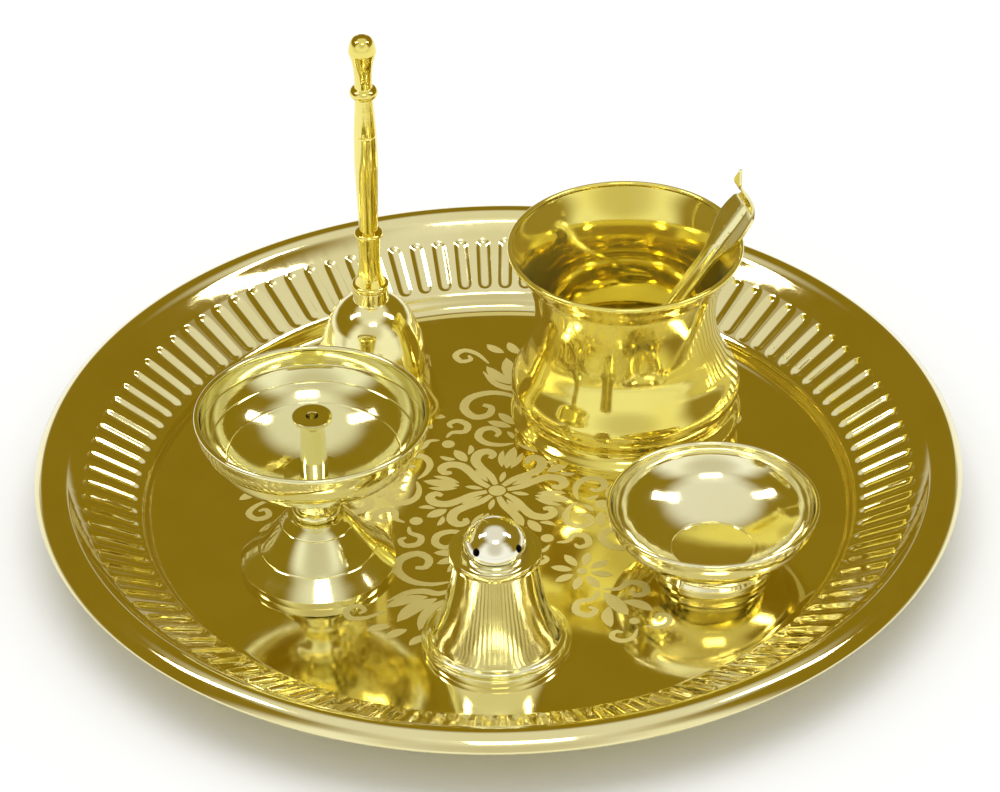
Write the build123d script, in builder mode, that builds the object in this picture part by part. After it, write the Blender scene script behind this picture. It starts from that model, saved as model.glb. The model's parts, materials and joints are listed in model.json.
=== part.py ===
# Brass puja thali set: a fluted round tray that carries a hand bell, an oil lamp,
# an incense holder, a water pot with its spoon, and a small bowl.
# Millimetres. Origin at the centre of the tray's underside, +Z up, front of the set towards -Y.

import os
from math import cos, radians, sin, sqrt

from build123d import *
from build123d.topology import SkipClean

os.makedirs("parts", exist_ok=True)

# Fits shared by all the pieces
FIT = 0.05  # radial clearance of a stud or tenon in its hole
LOOSE = 0.3  # least distance between curved faces that are not fastened together
OVERRUN = 1.0  # how far a cutter runs past the face it starts from

# Tray: one pressed sheet with a step, a sloping fluted wall and a rolled lip, 304.8 across in all
TRAY_SHEET = 1.0
TRAY_FLOOR_RADIUS = 115.0
TRAY_STEP_WIDTH = 2.3
TRAY_STEP_HEIGHT = 5.0
TRAY_WALL_WIDTH = 21.1
TRAY_WALL_RISE = 11.0
TRAY_RIM_WIDTH = 14.0  # from the top of the wall to the outer edge
TRAY_RIM_RISE = 5.6  # from the top of the wall to the top of the lip
TRAY_LIP_ROLL = 6.2
TRAY_LIP_INNER_LEAN = 50.0
TRAY_LIP_OUTER_LEAN = 60.0
TRAY_HEM_RADIUS = 1.0
TRAY_HEM_DROP = 0.72  # from the end of the lip's roll to the middle of the hem
TRAY_STEP_FILLET = 1.4
TRAY_WALL_FILLET = 3.0
FLUTE_COUNT = 108
TRAY_SECTORS = 12  # equal sectors that the fluted tray is patterned from
FLUTE_MARGIN = 1.7  # plain wall past each end of a flute
FLUTE_WIDTH = 4.9
FLUTE_DEPTH = 0.9

# Places of the pieces on the tray floor: a turn from +X in degrees, and a share of the floor's radius
BELL_TURN, BELL_PLACE_SHARE = 125.134, 0.6316
LAMP_TURN, LAMP_PLACE_SHARE = 207.715, 0.5815
INCENSE_TURN, INCENSE_PLACE_SHARE = 268.845, 0.6471
BOWL_TURN, BOWL_PLACE_SHARE = 334.537, 0.6675
# the pot, the widest piece, takes a share of the room that its foot leaves on the floor
POT_TURN, POT_PLACE_SHARE = 50.505, 0.902

# Bell: heights are above the tray floor
BELL_LIP_RADIUS = 23.9
BELL_WALL = 1.6
BELL_CROWN_RADIUS = 15.4
BELL_CROWN_CENTRE = 28.5
BELL_CROWN_LEAN = 19.6
BELL_SKIRT_SHARES = ((0.40, 0.67), (0.69, 0.27))  # share of the flare, share of the skirt height
BELL_BOSS_RADIUS = 5.9
BELL_BOSS_HEIGHT = 4.675  # above the crown
BELL_STUD_RADIUS = 1.9
BELL_STUD_REACH = 10.6  # into the ferrule
BELL_FLANGE_RADIUS = 4.2
BELL_FLANGE_THICKNESS = 1.5
FERRULE_RING_RADIUS = 6.3
FERRULE_RING_HEIGHT = 2.2
FERRULE_WAIST_RADIUS = 3.6
FERRULE_COLLAR_RADIUS = 4.8
FERRULE_COLLAR_HEIGHT = 1.8
FERRULE_WEB = 3.8  # solid metal between the stud and the grip's tenon
GRIP_TENON_RADIUS = 1.9
GRIP_TENON_LENGTH = 8.0
GRIP_FOOT_RADIUS = 3.1
GRIP_STEM_LENGTH = 52.1  # from the ferrule to the ring
GRIP_SWELL_RADIUS = 4.0
GRIP_SWELL_SHARE = 0.56  # place of the swell along the stem
GRIP_NECK_RADIUS = 2.95
GRIP_RING_RADIUS = 4.7
GRIP_RING_THICKNESS = 4.2
GRIP_KNOB_RADIUS = 4.65
GRIP_KNOB_FLARE = 13.4  # from the ring to the widest part of the knob
GRIP_KNOB_DOME = 5.7
GRIP_TIP_RADIUS = 1.5

# Clapper: a rod with a bob, hung from the stud's eye by one link
EYE_WIRE = 0.8
EYE_RADIUS = 2.0
LINK_WIRE = 0.7
LINK_RADIUS = 1.9
LINK_STRAIGHT = 3.6
CLAPPER_ROD_RADIUS = 1.0
CLAPPER_BOB_RADIUS = 5.5
CLAPPER_BOB_HEIGHT = 10.0

# Oil lamp: heights are above the tray floor
LAMP_BASE_RADIUS = 25.3
LAMP_BASE_EDGE = 2.6
LAMP_BASE_WALL = 1.5
LAMP_BASE_TOP = 20.5
LAMP_BASE_TOP_RADIUS = 9.2
LAMP_BASE_PLATE = 2.0
LAMP_FLARE_SHARES = ((0.57, 0.36), (0.17, 0.83))  # share of the radius step, share of the rise
LAMP_COLLAR_RADIUS = 8.0
LAMP_COLLAR_BEAD = 1.7
LAMP_COLLAR_WAIST = 5.8
LAMP_COLLAR_TOP_RADIUS = 8.4
LAMP_COLLAR_HEIGHT = 14.5
LAMP_BOWL_RADIUS = 37.7
LAMP_BOWL_DEPTH = 25.3  # of the whole half-ellipsoid
LAMP_SEAT_RADIUS = 8.8  # of the flat that the ellipsoid is cut off to
LAMP_BOWL_WALL = 1.3
LAMP_BOWL_FLOOR = 1.5
LAMP_RIM_BEAD = 0.9
POST_FOOT_RADIUS = 4.7
POST_STEM_RADIUS = 4.0
POST_HEAD_RADIUS = 6.4
POST_HEAD_EDGE = 1.4
POST_HEAD_FLARE = 3.6
POST_BELOW_MOUTH = 0.6
WICK_HOLE_RADIUS = 2.0
WICK_HOLE_DEPTH = 14.0
POST_STUD_RADIUS = 2.5
LAMP_NUT_FLATS = 8.0
LAMP_NUT_HEIGHT = 3.2
LAMP_STUD_PROUD = 0.8

# Incense holder: heights are above the tray floor
INCENSE_FOOT_RADIUS = 20.8
INCENSE_BEAD_REACH = 1.8  # past the pillar's foot
INCENSE_BEAD_HEIGHT = 1.8
INCENSE_FLANGE_REACH = 1.4  # past the bead
INCENSE_FLANGE_HEIGHT = 2.2
INCENSE_WAIST_RADIUS = 15.6
INCENSE_NECK_RADIUS = 13.4
INCENSE_RIM_REACH = 1.4  # past the neck
INCENSE_RIM_HEIGHT = 2.6
INCENSE_RIM_WIDTH = 2.2
INCENSE_HEIGHT = 37.0
INCENSE_WALL = 1.7
INCENSE_PLATE = 2.6
INCENSE_DISH = 0.7
DOME_GAP = 2.1  # between the dome and the rim round it
DOME_SKIRT = 0.8
DOME_SPIGOT_RADIUS = 6.0
STICK_HOLE_RADIUS = 1.25
STICK_HOLE_DEPTH = 5.0
STICK_HOLE_COUNT = 4
STICK_HOLE_PLACE = 24.0  # elevation of a hole's mouth on the dome, in degrees
STICK_HOLE_LEAN = 45.0  # elevation of the stick, in degrees
STICK_HOLE_TURN = -38.0  # azimuth of the first hole from straight ahead, in degrees

# Water pot: heights are above the tray floor
POT_MOUTH_RADIUS = 39.4
POT_HEIGHT = 67.0
POT_WALL = 1.2
POT_LIP_BEAD = 0.9
POT_NECK_RADIUS = 30.5
POT_NECK_HEIGHT = 36.0
POT_BELLY_RADIUS = 38.7
POT_BELLY_HEIGHT = 12.0
POT_GROOVE_RADIUS = 35.6
POT_GROOVE_HEIGHT = 5.6
POT_FOOT_RADIUS = 39.0
POT_FOOT_EDGE = 1.6
POT_FLOOR = 2.8
POT_FLOOR_INSET = 4.6  # from the groove to the floor's edge inside
POT_FOOT_WIDTH = 5.0
POT_RECESS_DEPTH = 1.4
POT_SHOULDER_SHARES = (0.42, 0.46)  # share of the belly step, share of the rise to the neck
POT_FLARE_SHARES = (0.30, 0.62)  # share of the mouth step, share of the rise to the mouth

# Spoon: leans in the pot, its bowl on the pot's floor and its stem on the pot's lip
SPOON_TURN = 11.0  # azimuth of the lean from +X, in degrees
SPOON_LEAN = 55.0  # angle above the floor, in degrees
SPOON_ROLL = 12.0  # turn about its own length, in degrees
SPOON_REST = 2.0  # distance from the pot's lip bead to the stem's middle, so that the low edge clears it
SPOON_SHEET = 1.0
SPOON_BOWL_LENGTH = 26.0
SPOON_BOWL_RADIUS = 9.5
SPOON_BOWL_DEPTH = 6.0
SPOON_STEM_WIDTH = 7.4
SPOON_RIDGE_WIDTH = 4.4
SPOON_RIDGE_RISE = 1.6
SPOON_RIDGE_FILLET = 1.2
SPOON_WING_RISE = 0.8
SPOON_HOOD_INSIDE = 14.0  # length of the widening hood before the pot's lip
SPOON_HOOD_SWELL = 2.0  # place of its full width past the pot's lip
SPOON_HOOD_OUTSIDE = 9.0  # length of the flat hood past the pot's lip
SPOON_HOOD_WIDTH = 16.4
SPOON_HOOD_END = 14.6  # width where the hood curls up
SPOON_CURL = 68.0  # rise of the curled end, in degrees
SPOON_CURL_ROUND = 5.0
SPOON_CURL_WALL = 4.6
SPOON_LEAF_LEAN = 26.0  # rise of the leaf above the neck, in degrees
SPOON_LEAF_ROUND = 1.6
SPOON_LEAF_LENGTH = 5.2
SPOON_LEAF_WIDTH = 4.6
SPOON_NECK_WIDTH = 2.2
SPOON_NECK_SHARE, SPOON_LEAF_SHARE = 0.6, 0.74  # places of neck and leaf along the curled end

# Small bowl: heights are above the tray floor
BOWL_MOUTH_RADIUS = 34.4
BOWL_STAND = 3.39  # free height under the bowl's middle
BOWL_DEPTH = 19.6  # of the whole half-ellipsoid
BOWL_WALL = 1.2
BOWL_RIM_BEAD = 0.8
BOWL_FOOT_RADIUS = 20.0
BOWL_FOOT_WIDTH = 2.4
BOWL_FOOT_EDGE = 1.2
BOWL_FOOT_WAIST = 1.3
BOWL_WELL_RADIUS = 13.5
BOWL_WELL_DEPTH = 0.6
BOWL_FLOOR = 1.4

FLOOR = TRAY_SHEET  # height of the tray's upper face


def place(turn: float, reach: float) -> tuple[float, float]:
    """A place on the tray floor, at a distance from the centre and a turn from +X."""
    return (reach * cos(radians(turn)), reach * sin(radians(turn)))


BELL_X, BELL_Y = place(BELL_TURN, BELL_PLACE_SHARE * TRAY_FLOOR_RADIUS)
LAMP_X, LAMP_Y = place(LAMP_TURN, LAMP_PLACE_SHARE * TRAY_FLOOR_RADIUS)
INCENSE_X, INCENSE_Y = place(INCENSE_TURN, INCENSE_PLACE_SHARE * TRAY_FLOOR_RADIUS)
BOWL_X, BOWL_Y = place(BOWL_TURN, BOWL_PLACE_SHARE * TRAY_FLOOR_RADIUS)
POT_X, POT_Y = place(POT_TURN, POT_PLACE_SHARE * (TRAY_FLOOR_RADIUS - POT_FOOT_RADIUS))


def section(x: float, y: float) -> Plane:
    """The upright plane through a piece's axis: x is the radius, y the height above the tray floor."""
    return Plane(origin=(x, y, FLOOR), x_dir=(1, 0, 0), z_dir=(0, -1, 0))


def upright(x: float, y: float) -> Axis:
    """The vertical axis of a turned piece."""
    return Axis((x, y, 0), (0, 0, 1))


def level(x: float, y: float, height: float) -> Plane:
    """A level plane on a piece's axis, at a height above the tray floor."""
    return Plane(origin=(x, y, FLOOR + height))


def cap_half(radius: float, depth: float, mouth: float, low: float) -> Sketch:
    """Half the section of a half-ellipsoid below its mouth, cut off level at its low height."""
    with BuildSketch() as half:
        with Locations((0, mouth)):
            Ellipse(radius, depth)
        with Locations((0, low)):
            Rectangle(radius, mouth - low, align=Align.MIN, mode=Mode.INTERSECT)
    return half.sketch


RISING = (Align.CENTER, Align.CENTER, Align.MIN)
HANGING = (Align.CENTER, Align.CENTER, Align.MAX)


# Tray: the sheet's upper line, thickened downwards, with a hem along its edge and pressed flutes
wall_foot = Vector(TRAY_FLOOR_RADIUS + TRAY_STEP_WIDTH, 0, FLOOR + TRAY_STEP_HEIGHT)
wall_slope = Vector(TRAY_WALL_WIDTH, 0, TRAY_WALL_RISE)
wall_top = wall_foot + wall_slope
wall_run = wall_slope.normalized()
wall_normal = Vector(-wall_run.Z, 0, wall_run.X)
# the lip's roll is set so that the hem at its end touches the outer edge
lip_inner = radians(TRAY_LIP_INNER_LEAN)
lip_outer = radians(TRAY_LIP_OUTER_LEAN)
hem_reach = (
    (TRAY_LIP_ROLL - TRAY_SHEET / 2) * sin(lip_outer) + TRAY_HEM_DROP * cos(lip_outer),
    (TRAY_LIP_ROLL - TRAY_SHEET / 2) * cos(lip_outer) - TRAY_HEM_DROP * sin(lip_outer),
)
lip_centre = (
    wall_top.X + TRAY_RIM_WIDTH - TRAY_HEM_RADIUS - hem_reach[0],
    wall_top.Z + TRAY_RIM_RISE - TRAY_LIP_ROLL,
)
lip_start = (
    lip_centre[0] - TRAY_LIP_ROLL * sin(lip_inner),
    lip_centre[1] + TRAY_LIP_ROLL * cos(lip_inner),
)
flute_middle = wall_foot + wall_slope / 2
# a flute is the dent of a round-ended rod, laid along the wall with its axis above it
flute_round = (FLUTE_WIDTH**2 / 4 + FLUTE_DEPTH**2) / (2 * FLUTE_DEPTH)
flute_axis = flute_middle + wall_normal * (flute_round - FLUTE_DEPTH)
flute_half = (wall_slope.length - FLUTE_WIDTH) / 2 - FLUTE_MARGIN


def flute_rod(radius: float, cut_depth: float) -> Part:
    """The part of a round-ended rod below a plane that lies cut_depth under the wall's upper face."""
    ends = [flute_axis - wall_run * flute_half, flute_axis + wall_run * flute_half]
    tips = [ends[0] - wall_run * radius, ends[1] + wall_run * radius]
    low = [end - wall_normal * radius for end in ends]
    with BuildPart() as rod:
        with BuildSketch(Plane.XZ):
            with BuildLine():
                Line(*[(p.X, p.Z) for p in tips])
                RadiusArc((tips[0].X, tips[0].Z), (low[0].X, low[0].Z), -radius)
                Line(*[(p.X, p.Z) for p in low])
                RadiusArc((low[1].X, low[1].Z), (tips[1].X, tips[1].Z), -radius)
            make_face()
        revolve(axis=Axis(flute_axis, wall_run))
        split(bisect_by=Plane(flute_middle - wall_normal * cut_depth, z_dir=wall_normal), keep=Keep.BOTTOM)
    return rod.part


flute_bulge = flute_rod(flute_round + TRAY_SHEET, TRAY_SHEET / 2)
flute_dent = flute_rod(flute_round, -OVERRUN)
flute_pitch = 360 / FLUTE_COUNT
sector_flutes = FLUTE_COUNT // TRAY_SECTORS

with BuildPart() as tray_sector:
    with BuildSketch(Plane.XZ):
        with BuildLine():
            FilletPolyline(
                (0, FLOOR),
                (TRAY_FLOOR_RADIUS, FLOOR),
                (wall_foot.X, wall_foot.Z),
                (wall_top.X, wall_top.Z),
                lip_start,
                radius=[TRAY_STEP_FILLET, TRAY_STEP_FILLET, TRAY_WALL_FILLET],
            )
            CenterArc(
                lip_centre,
                TRAY_LIP_ROLL,
                90 + TRAY_LIP_INNER_LEAN,
                -TRAY_LIP_INNER_LEAN - TRAY_LIP_OUTER_LEAN,
            )
            offset(amount=TRAY_SHEET, side=Side.RIGHT)
        make_face()
        with Locations((lip_centre[0] + hem_reach[0], lip_centre[1] + hem_reach[1])):
            Circle(TRAY_HEM_RADIUS)
    revolve(axis=Axis.Z, revolution_arc=360 / TRAY_SECTORS)
    flutes = PolarLocations(0, sector_flutes, start_angle=flute_pitch / 2, angular_range=360 / TRAY_SECTORS)
    with flutes:
        add(flute_bulge)
    with flutes:
        add(flute_dent, mode=Mode.SUBTRACT)

with SkipClean(), BuildPart() as thali_plate:
    with PolarLocations(0, TRAY_SECTORS):
        add(tray_sector.part, clean=False)
thali_plate.part.label = "thali_plate"
export_step(thali_plate.part, "parts/thali_plate.step")

# Bell dome: a round crown on a flaring skirt, hollow, with a boss for the handle
bell_section = section(BELL_X, BELL_Y)
bell_axis = upright(BELL_X, BELL_Y)
crown_lean = radians(BELL_CROWN_LEAN)
crown_inside = BELL_CROWN_RADIUS - BELL_WALL
stud_hole = BELL_STUD_RADIUS + FIT
bell_seat = BELL_CROWN_CENTRE + sqrt(crown_inside**2 - BELL_FLANGE_RADIUS**2)
boss_foot = BELL_CROWN_CENTRE + sqrt(BELL_CROWN_RADIUS**2 - BELL_BOSS_RADIUS**2)
boss_top = boss_foot + BELL_BOSS_HEIGHT
stud_top = boss_top + BELL_STUD_REACH


def skirt_line(crown_radius: float, lip_radius: float) -> list[tuple[float, float]]:
    """The skirt's points, from where it leaves the crown down to the lip."""
    top_radius = crown_radius * cos(crown_lean)
    top_height = BELL_CROWN_CENTRE + crown_radius * sin(crown_lean)
    middle = [
        (top_radius + out * (lip_radius - top_radius), up * top_height) for out, up in BELL_SKIRT_SHARES
    ]
    return [(top_radius, top_height), *middle, (lip_radius, 0)]


with BuildPart() as bell_dome:
    with BuildSketch(bell_section):
        with BuildLine():
            outer = skirt_line(BELL_CROWN_RADIUS, BELL_LIP_RADIUS)
            inner = skirt_line(crown_inside, BELL_LIP_RADIUS - BELL_WALL)
            Polyline(
                (BELL_FLANGE_RADIUS, bell_seat),
                (stud_hole, bell_seat),
                (stud_hole, boss_top),
                (BELL_BOSS_RADIUS, boss_top),
                (BELL_BOSS_RADIUS, boss_foot),
            )
            RadiusArc((BELL_BOSS_RADIUS, boss_foot), outer[0], BELL_CROWN_RADIUS)
            Spline(*outer)
            Line(outer[-1], inner[-1])
            Spline(*inner)
            RadiusArc((BELL_FLANGE_RADIUS, bell_seat), inner[0], crown_inside)
        make_face()
    revolve(axis=bell_axis)
bell_dome.part.label = "bell_dome"
export_step(bell_dome.part, "parts/bell_dome.step")

# Bell ferrule: the waisted socket between the dome's boss and the grip
ferrule_top = stud_top + FERRULE_WEB + GRIP_TENON_LENGTH
ferrule_ring_top = boss_top + FERRULE_RING_HEIGHT
ferrule_collar_foot = ferrule_top - FERRULE_COLLAR_HEIGHT
with BuildPart() as bell_ferrule:
    with BuildSketch(bell_section):
        with BuildLine():
            Polyline(
                (0, ferrule_top),
                (0, boss_top),
                (FERRULE_RING_RADIUS - FERRULE_RING_HEIGHT / 2, boss_top),
            )
            ThreePointArc(
                (FERRULE_RING_RADIUS - FERRULE_RING_HEIGHT / 2, boss_top),
                (FERRULE_RING_RADIUS, (boss_top + ferrule_ring_top) / 2),
                (FERRULE_RING_RADIUS - FERRULE_RING_HEIGHT / 2, ferrule_ring_top),
            )
            ThreePointArc(
                (FERRULE_RING_RADIUS - FERRULE_RING_HEIGHT / 2, ferrule_ring_top),
                (FERRULE_WAIST_RADIUS, (ferrule_ring_top + ferrule_collar_foot) / 2),
                (FERRULE_COLLAR_RADIUS - FERRULE_COLLAR_HEIGHT / 2, ferrule_collar_foot),
            )
            ThreePointArc(
                (FERRULE_COLLAR_RADIUS - FERRULE_COLLAR_HEIGHT / 2, ferrule_collar_foot),
                (FERRULE_COLLAR_RADIUS, (ferrule_collar_foot + ferrule_top) / 2),
                (FERRULE_COLLAR_RADIUS - FERRULE_COLLAR_HEIGHT / 2, ferrule_top),
            )
            Line((FERRULE_COLLAR_RADIUS - FERRULE_COLLAR_HEIGHT / 2, ferrule_top), (0, ferrule_top))
        make_face()
    revolve(axis=bell_axis)
    with Locations(level(BELL_X, BELL_Y, boss_top)):
        Cylinder(stud_hole, BELL_STUD_REACH, align=RISING, mode=Mode.SUBTRACT)
    with Locations(level(BELL_X, BELL_Y, ferrule_top)):
        Cylinder(GRIP_TENON_RADIUS + FIT, GRIP_TENON_LENGTH, align=HANGING, mode=Mode.SUBTRACT)
bell_ferrule.part.label = "bell_ferrule"
export_step(bell_ferrule.part, "parts/bell_ferrule.step")

# Bell grip: a slender turned handle with a swell, a ring and a domed knob
grip_ring_low = ferrule_top + GRIP_STEM_LENGTH
grip_ring_high = grip_ring_low + GRIP_RING_THICKNESS
grip_knob = grip_ring_high + GRIP_KNOB_FLARE
grip_tip = grip_knob + GRIP_KNOB_DOME
with BuildPart() as bell_grip:
    with BuildSketch(bell_section):
        with BuildLine():
            Polyline(
                (0, grip_tip),
                (0, ferrule_top - GRIP_TENON_LENGTH),
                (GRIP_TENON_RADIUS, ferrule_top - GRIP_TENON_LENGTH),
                (GRIP_TENON_RADIUS, ferrule_top),
                (GRIP_FOOT_RADIUS, ferrule_top),
            )
            Spline(
                (GRIP_FOOT_RADIUS, ferrule_top),
                (GRIP_SWELL_RADIUS, ferrule_top + GRIP_SWELL_SHARE * GRIP_STEM_LENGTH),
                (GRIP_NECK_RADIUS, grip_ring_low),
                tangents=[(0, 1), (0, 1)],
            )
            ThreePointArc(
                (GRIP_NECK_RADIUS, grip_ring_low),
                (GRIP_RING_RADIUS, (grip_ring_low + grip_ring_high) / 2),
                (GRIP_NECK_RADIUS, grip_ring_high),
            )
            Spline(
                (GRIP_NECK_RADIUS, grip_ring_high),
                (GRIP_KNOB_RADIUS, grip_knob),
                tangents=[(0, 1), (1, 1)],
            )
            Spline(
                (GRIP_KNOB_RADIUS, grip_knob),
                (GRIP_TIP_RADIUS, grip_tip),
                tangents=[(0, 1), (-1, 0)],
            )
            Line((GRIP_TIP_RADIUS, grip_tip), (0, grip_tip))
        make_face()
    revolve(axis=bell_axis)
bell_grip.part.label = "bell_grip"
export_step(bell_grip.part, "parts/bell_grip.step")

# Bell stud: a flanged rod that clamps the dome to the ferrule and ends in an eye below
flange_foot = bell_seat - BELL_FLANGE_THICKNESS
eye_centre = flange_foot - EYE_RADIUS
eye_low = eye_centre - EYE_RADIUS
with BuildPart() as bell_stud:
    with BuildSketch(bell_section):
        with BuildLine():
            Polyline(
                (0, flange_foot),
                (BELL_FLANGE_RADIUS - FIT, flange_foot),
                (BELL_FLANGE_RADIUS - FIT, bell_seat),
                (BELL_STUD_RADIUS, bell_seat),
                (BELL_STUD_RADIUS, stud_top),
                (0, stud_top),
                close=True,
            )
        make_face()
    revolve(axis=bell_axis)
    with Locations(level(BELL_X, BELL_Y, eye_centre)):
        Torus(EYE_RADIUS, EYE_WIRE, rotation=(90, 0, 0))
bell_stud.part.label = "bell_stud"
export_step(bell_stud.part, "parts/bell_stud.step")

# Clapper link: an oval ring of wire that hangs in the eye, square to it
link_top = eye_low + EYE_WIRE + LINK_WIRE + LOOSE
link_low = link_top - 2 * LINK_RADIUS - LINK_STRAIGHT
link_bend = (link_top - LINK_RADIUS, link_low + LINK_RADIUS)
link_plane = Plane(origin=(BELL_X, BELL_Y, FLOOR), x_dir=(0, 1, 0), z_dir=(1, 0, 0))
with BuildPart() as clapper_link:
    with BuildLine(link_plane) as link_wire:
        Line((LINK_RADIUS, link_bend[1]), (LINK_RADIUS, link_bend[0]))
        CenterArc((0, link_bend[0]), LINK_RADIUS, 0, 180)
        Line((-LINK_RADIUS, link_bend[0]), (-LINK_RADIUS, link_bend[1]))
        CenterArc((0, link_bend[1]), LINK_RADIUS, 180, 180)
    with BuildSketch(Plane(origin=link_wire.wire() @ 0, z_dir=link_wire.wire() % 0)):
        Circle(LINK_WIRE)
    sweep()
clapper_link.part.label = "clapper_link"
export_step(clapper_link.part, "parts/clapper_link.step")

# Clapper: an eye, a rod and a round bob
clapper_eye = link_low + LINK_WIRE + EYE_WIRE + LOOSE - EYE_RADIUS
with BuildPart() as clapper:
    with Locations(level(BELL_X, BELL_Y, clapper_eye)):
        Torus(EYE_RADIUS, EYE_WIRE, rotation=(90, 0, 0))
    with Locations(level(BELL_X, BELL_Y, CLAPPER_BOB_HEIGHT)):
        Cylinder(CLAPPER_ROD_RADIUS, clapper_eye - EYE_RADIUS - CLAPPER_BOB_HEIGHT, align=RISING)
        Sphere(CLAPPER_BOB_RADIUS)
clapper.part.label = "clapper"
export_step(clapper.part, "parts/clapper.step")

# Lamp base: a flaring hollow foot with a plate on top
lamp_section = section(LAMP_X, LAMP_Y)
lamp_axis = upright(LAMP_X, LAMP_Y)
post_hole = POST_STUD_RADIUS + FIT
lamp_plate = LAMP_BASE_TOP - LAMP_BASE_PLATE
lamp_seat = LAMP_BASE_TOP + LAMP_COLLAR_HEIGHT
lamp_mouth = lamp_seat + LAMP_BOWL_DEPTH * sqrt(1 - (LAMP_SEAT_RADIUS / LAMP_BOWL_RADIUS) ** 2)


def flare_line(low: tuple[float, float], high: tuple[float, float]) -> list[tuple[float, float]]:
    """The points of the lamp foot's concave flare between a low outer end and a high inner end."""
    middle = [
        (high[0] + out * (low[0] - high[0]), low[1] + up * (high[1] - low[1])) for out, up in LAMP_FLARE_SHARES
    ]
    return [low, *middle, high]


with BuildPart() as lamp_base:
    with BuildSketch(lamp_section):
        with BuildLine():
            outer = flare_line((LAMP_BASE_RADIUS, LAMP_BASE_EDGE), (LAMP_BASE_TOP_RADIUS, LAMP_BASE_TOP))
            inner = flare_line(
                (LAMP_BASE_RADIUS - LAMP_BASE_WALL, LAMP_BASE_EDGE - LAMP_BASE_WALL),
                (LAMP_BASE_TOP_RADIUS - LAMP_BASE_WALL, lamp_plate),
            )
            Spline(*outer)
            Polyline(outer[-1], (post_hole, LAMP_BASE_TOP), (post_hole, lamp_plate), inner[-1])
            Spline(*inner)
            Polyline(inner[0], (inner[0][0], 0), (LAMP_BASE_RADIUS, 0), outer[0])
        make_face()
    revolve(axis=lamp_axis)
lamp_base.part.label = "lamp_base"
export_step(lamp_base.part, "parts/lamp_base.step")

# Lamp collar: the beaded spool between foot and bowl
collar_bead_top = LAMP_BASE_TOP + 2 * LAMP_COLLAR_BEAD
collar_bead_foot = LAMP_COLLAR_RADIUS - LAMP_COLLAR_BEAD
with BuildPart() as lamp_collar:
    with BuildSketch(lamp_section):
        with BuildLine():
            ThreePointArc(
                (collar_bead_foot, LAMP_BASE_TOP),
                (LAMP_COLLAR_RADIUS, LAMP_BASE_TOP + LAMP_COLLAR_BEAD),
                (collar_bead_foot, collar_bead_top),
            )
            ThreePointArc(
                (collar_bead_foot, collar_bead_top),
                (LAMP_COLLAR_WAIST, (collar_bead_top + lamp_seat) / 2),
                (LAMP_COLLAR_TOP_RADIUS, lamp_seat),
            )
            Polyline(
                (LAMP_COLLAR_TOP_RADIUS, lamp_seat),
                (post_hole, lamp_seat),
                (post_hole, LAMP_BASE_TOP),
                (collar_bead_foot, LAMP_BASE_TOP),
            )
        make_face()
    revolve(axis=lamp_axis)
lamp_collar.part.label = "lamp_collar"
export_step(lamp_collar.part, "parts/lamp_collar.step")

# Lamp bowl: a half-ellipsoid with a beaded rim and a flat seat
lamp_floor = lamp_seat + LAMP_BOWL_FLOOR
lamp_outside = cap_half(LAMP_BOWL_RADIUS, LAMP_BOWL_DEPTH, lamp_mouth, lamp_seat)
lamp_inside = cap_half(
    LAMP_BOWL_RADIUS - LAMP_BOWL_WALL, LAMP_BOWL_DEPTH - LAMP_BOWL_WALL, lamp_mouth, lamp_floor
)
with BuildPart() as lamp_bowl:
    with BuildSketch(lamp_section):
        add(lamp_outside)
        add(lamp_inside, mode=Mode.SUBTRACT)
        with Locations((LAMP_BOWL_RADIUS - LAMP_BOWL_WALL / 2, lamp_mouth)):
            Circle(LAMP_RIM_BEAD)
    revolve(axis=lamp_axis)
    with Locations(level(LAMP_X, LAMP_Y, lamp_seat)):
        Cylinder(post_hole, LAMP_BOWL_FLOOR, align=RISING, mode=Mode.SUBTRACT)
lamp_bowl.part.label = "lamp_bowl"
export_step(lamp_bowl.part, "parts/lamp_bowl.step")

# Wick post: a flared post in the bowl, with a stud through the bowl, the collar and the foot's plate
post_end = lamp_plate - LAMP_NUT_HEIGHT - LAMP_STUD_PROUD
post_top = lamp_mouth - POST_BELOW_MOUTH
head_foot = post_top - POST_HEAD_EDGE
with BuildPart() as wick_post:
    with BuildSketch(lamp_section):
        with BuildLine():
            Polyline(
                (0, post_end),
                (POST_STUD_RADIUS, post_end),
                (POST_STUD_RADIUS, lamp_floor),
                (POST_FOOT_RADIUS, lamp_floor),
                (POST_STEM_RADIUS, head_foot - POST_HEAD_FLARE),
            )
            Spline(
                (POST_STEM_RADIUS, head_foot - POST_HEAD_FLARE),
                (POST_HEAD_RADIUS, head_foot),
                tangents=[(0, 1), (1, 1)],
            )
            Polyline(
                (POST_HEAD_RADIUS, head_foot),
                (POST_HEAD_RADIUS, post_top),
                (WICK_HOLE_RADIUS, post_top),
                (WICK_HOLE_RADIUS, post_top - WICK_HOLE_DEPTH),
                (0, post_top - WICK_HOLE_DEPTH),
                (0, post_end),
            )
        make_face()
    revolve(axis=lamp_axis)
wick_post.part.label = "wick_post"
export_step(wick_post.part, "parts/wick_post.step")

# Lamp nut: the hexagon nut under the foot's plate
with BuildPart() as lamp_nut:
    with BuildSketch(level(LAMP_X, LAMP_Y, lamp_plate - LAMP_NUT_HEIGHT)):
        RegularPolygon(LAMP_NUT_FLATS / 2, 6, major_radius=False)
        Circle(post_hole, mode=Mode.SUBTRACT)
    extrude(amount=LAMP_NUT_HEIGHT)
lamp_nut.part.label = "lamp_nut"
export_step(lamp_nut.part, "parts/lamp_nut.step")

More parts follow.
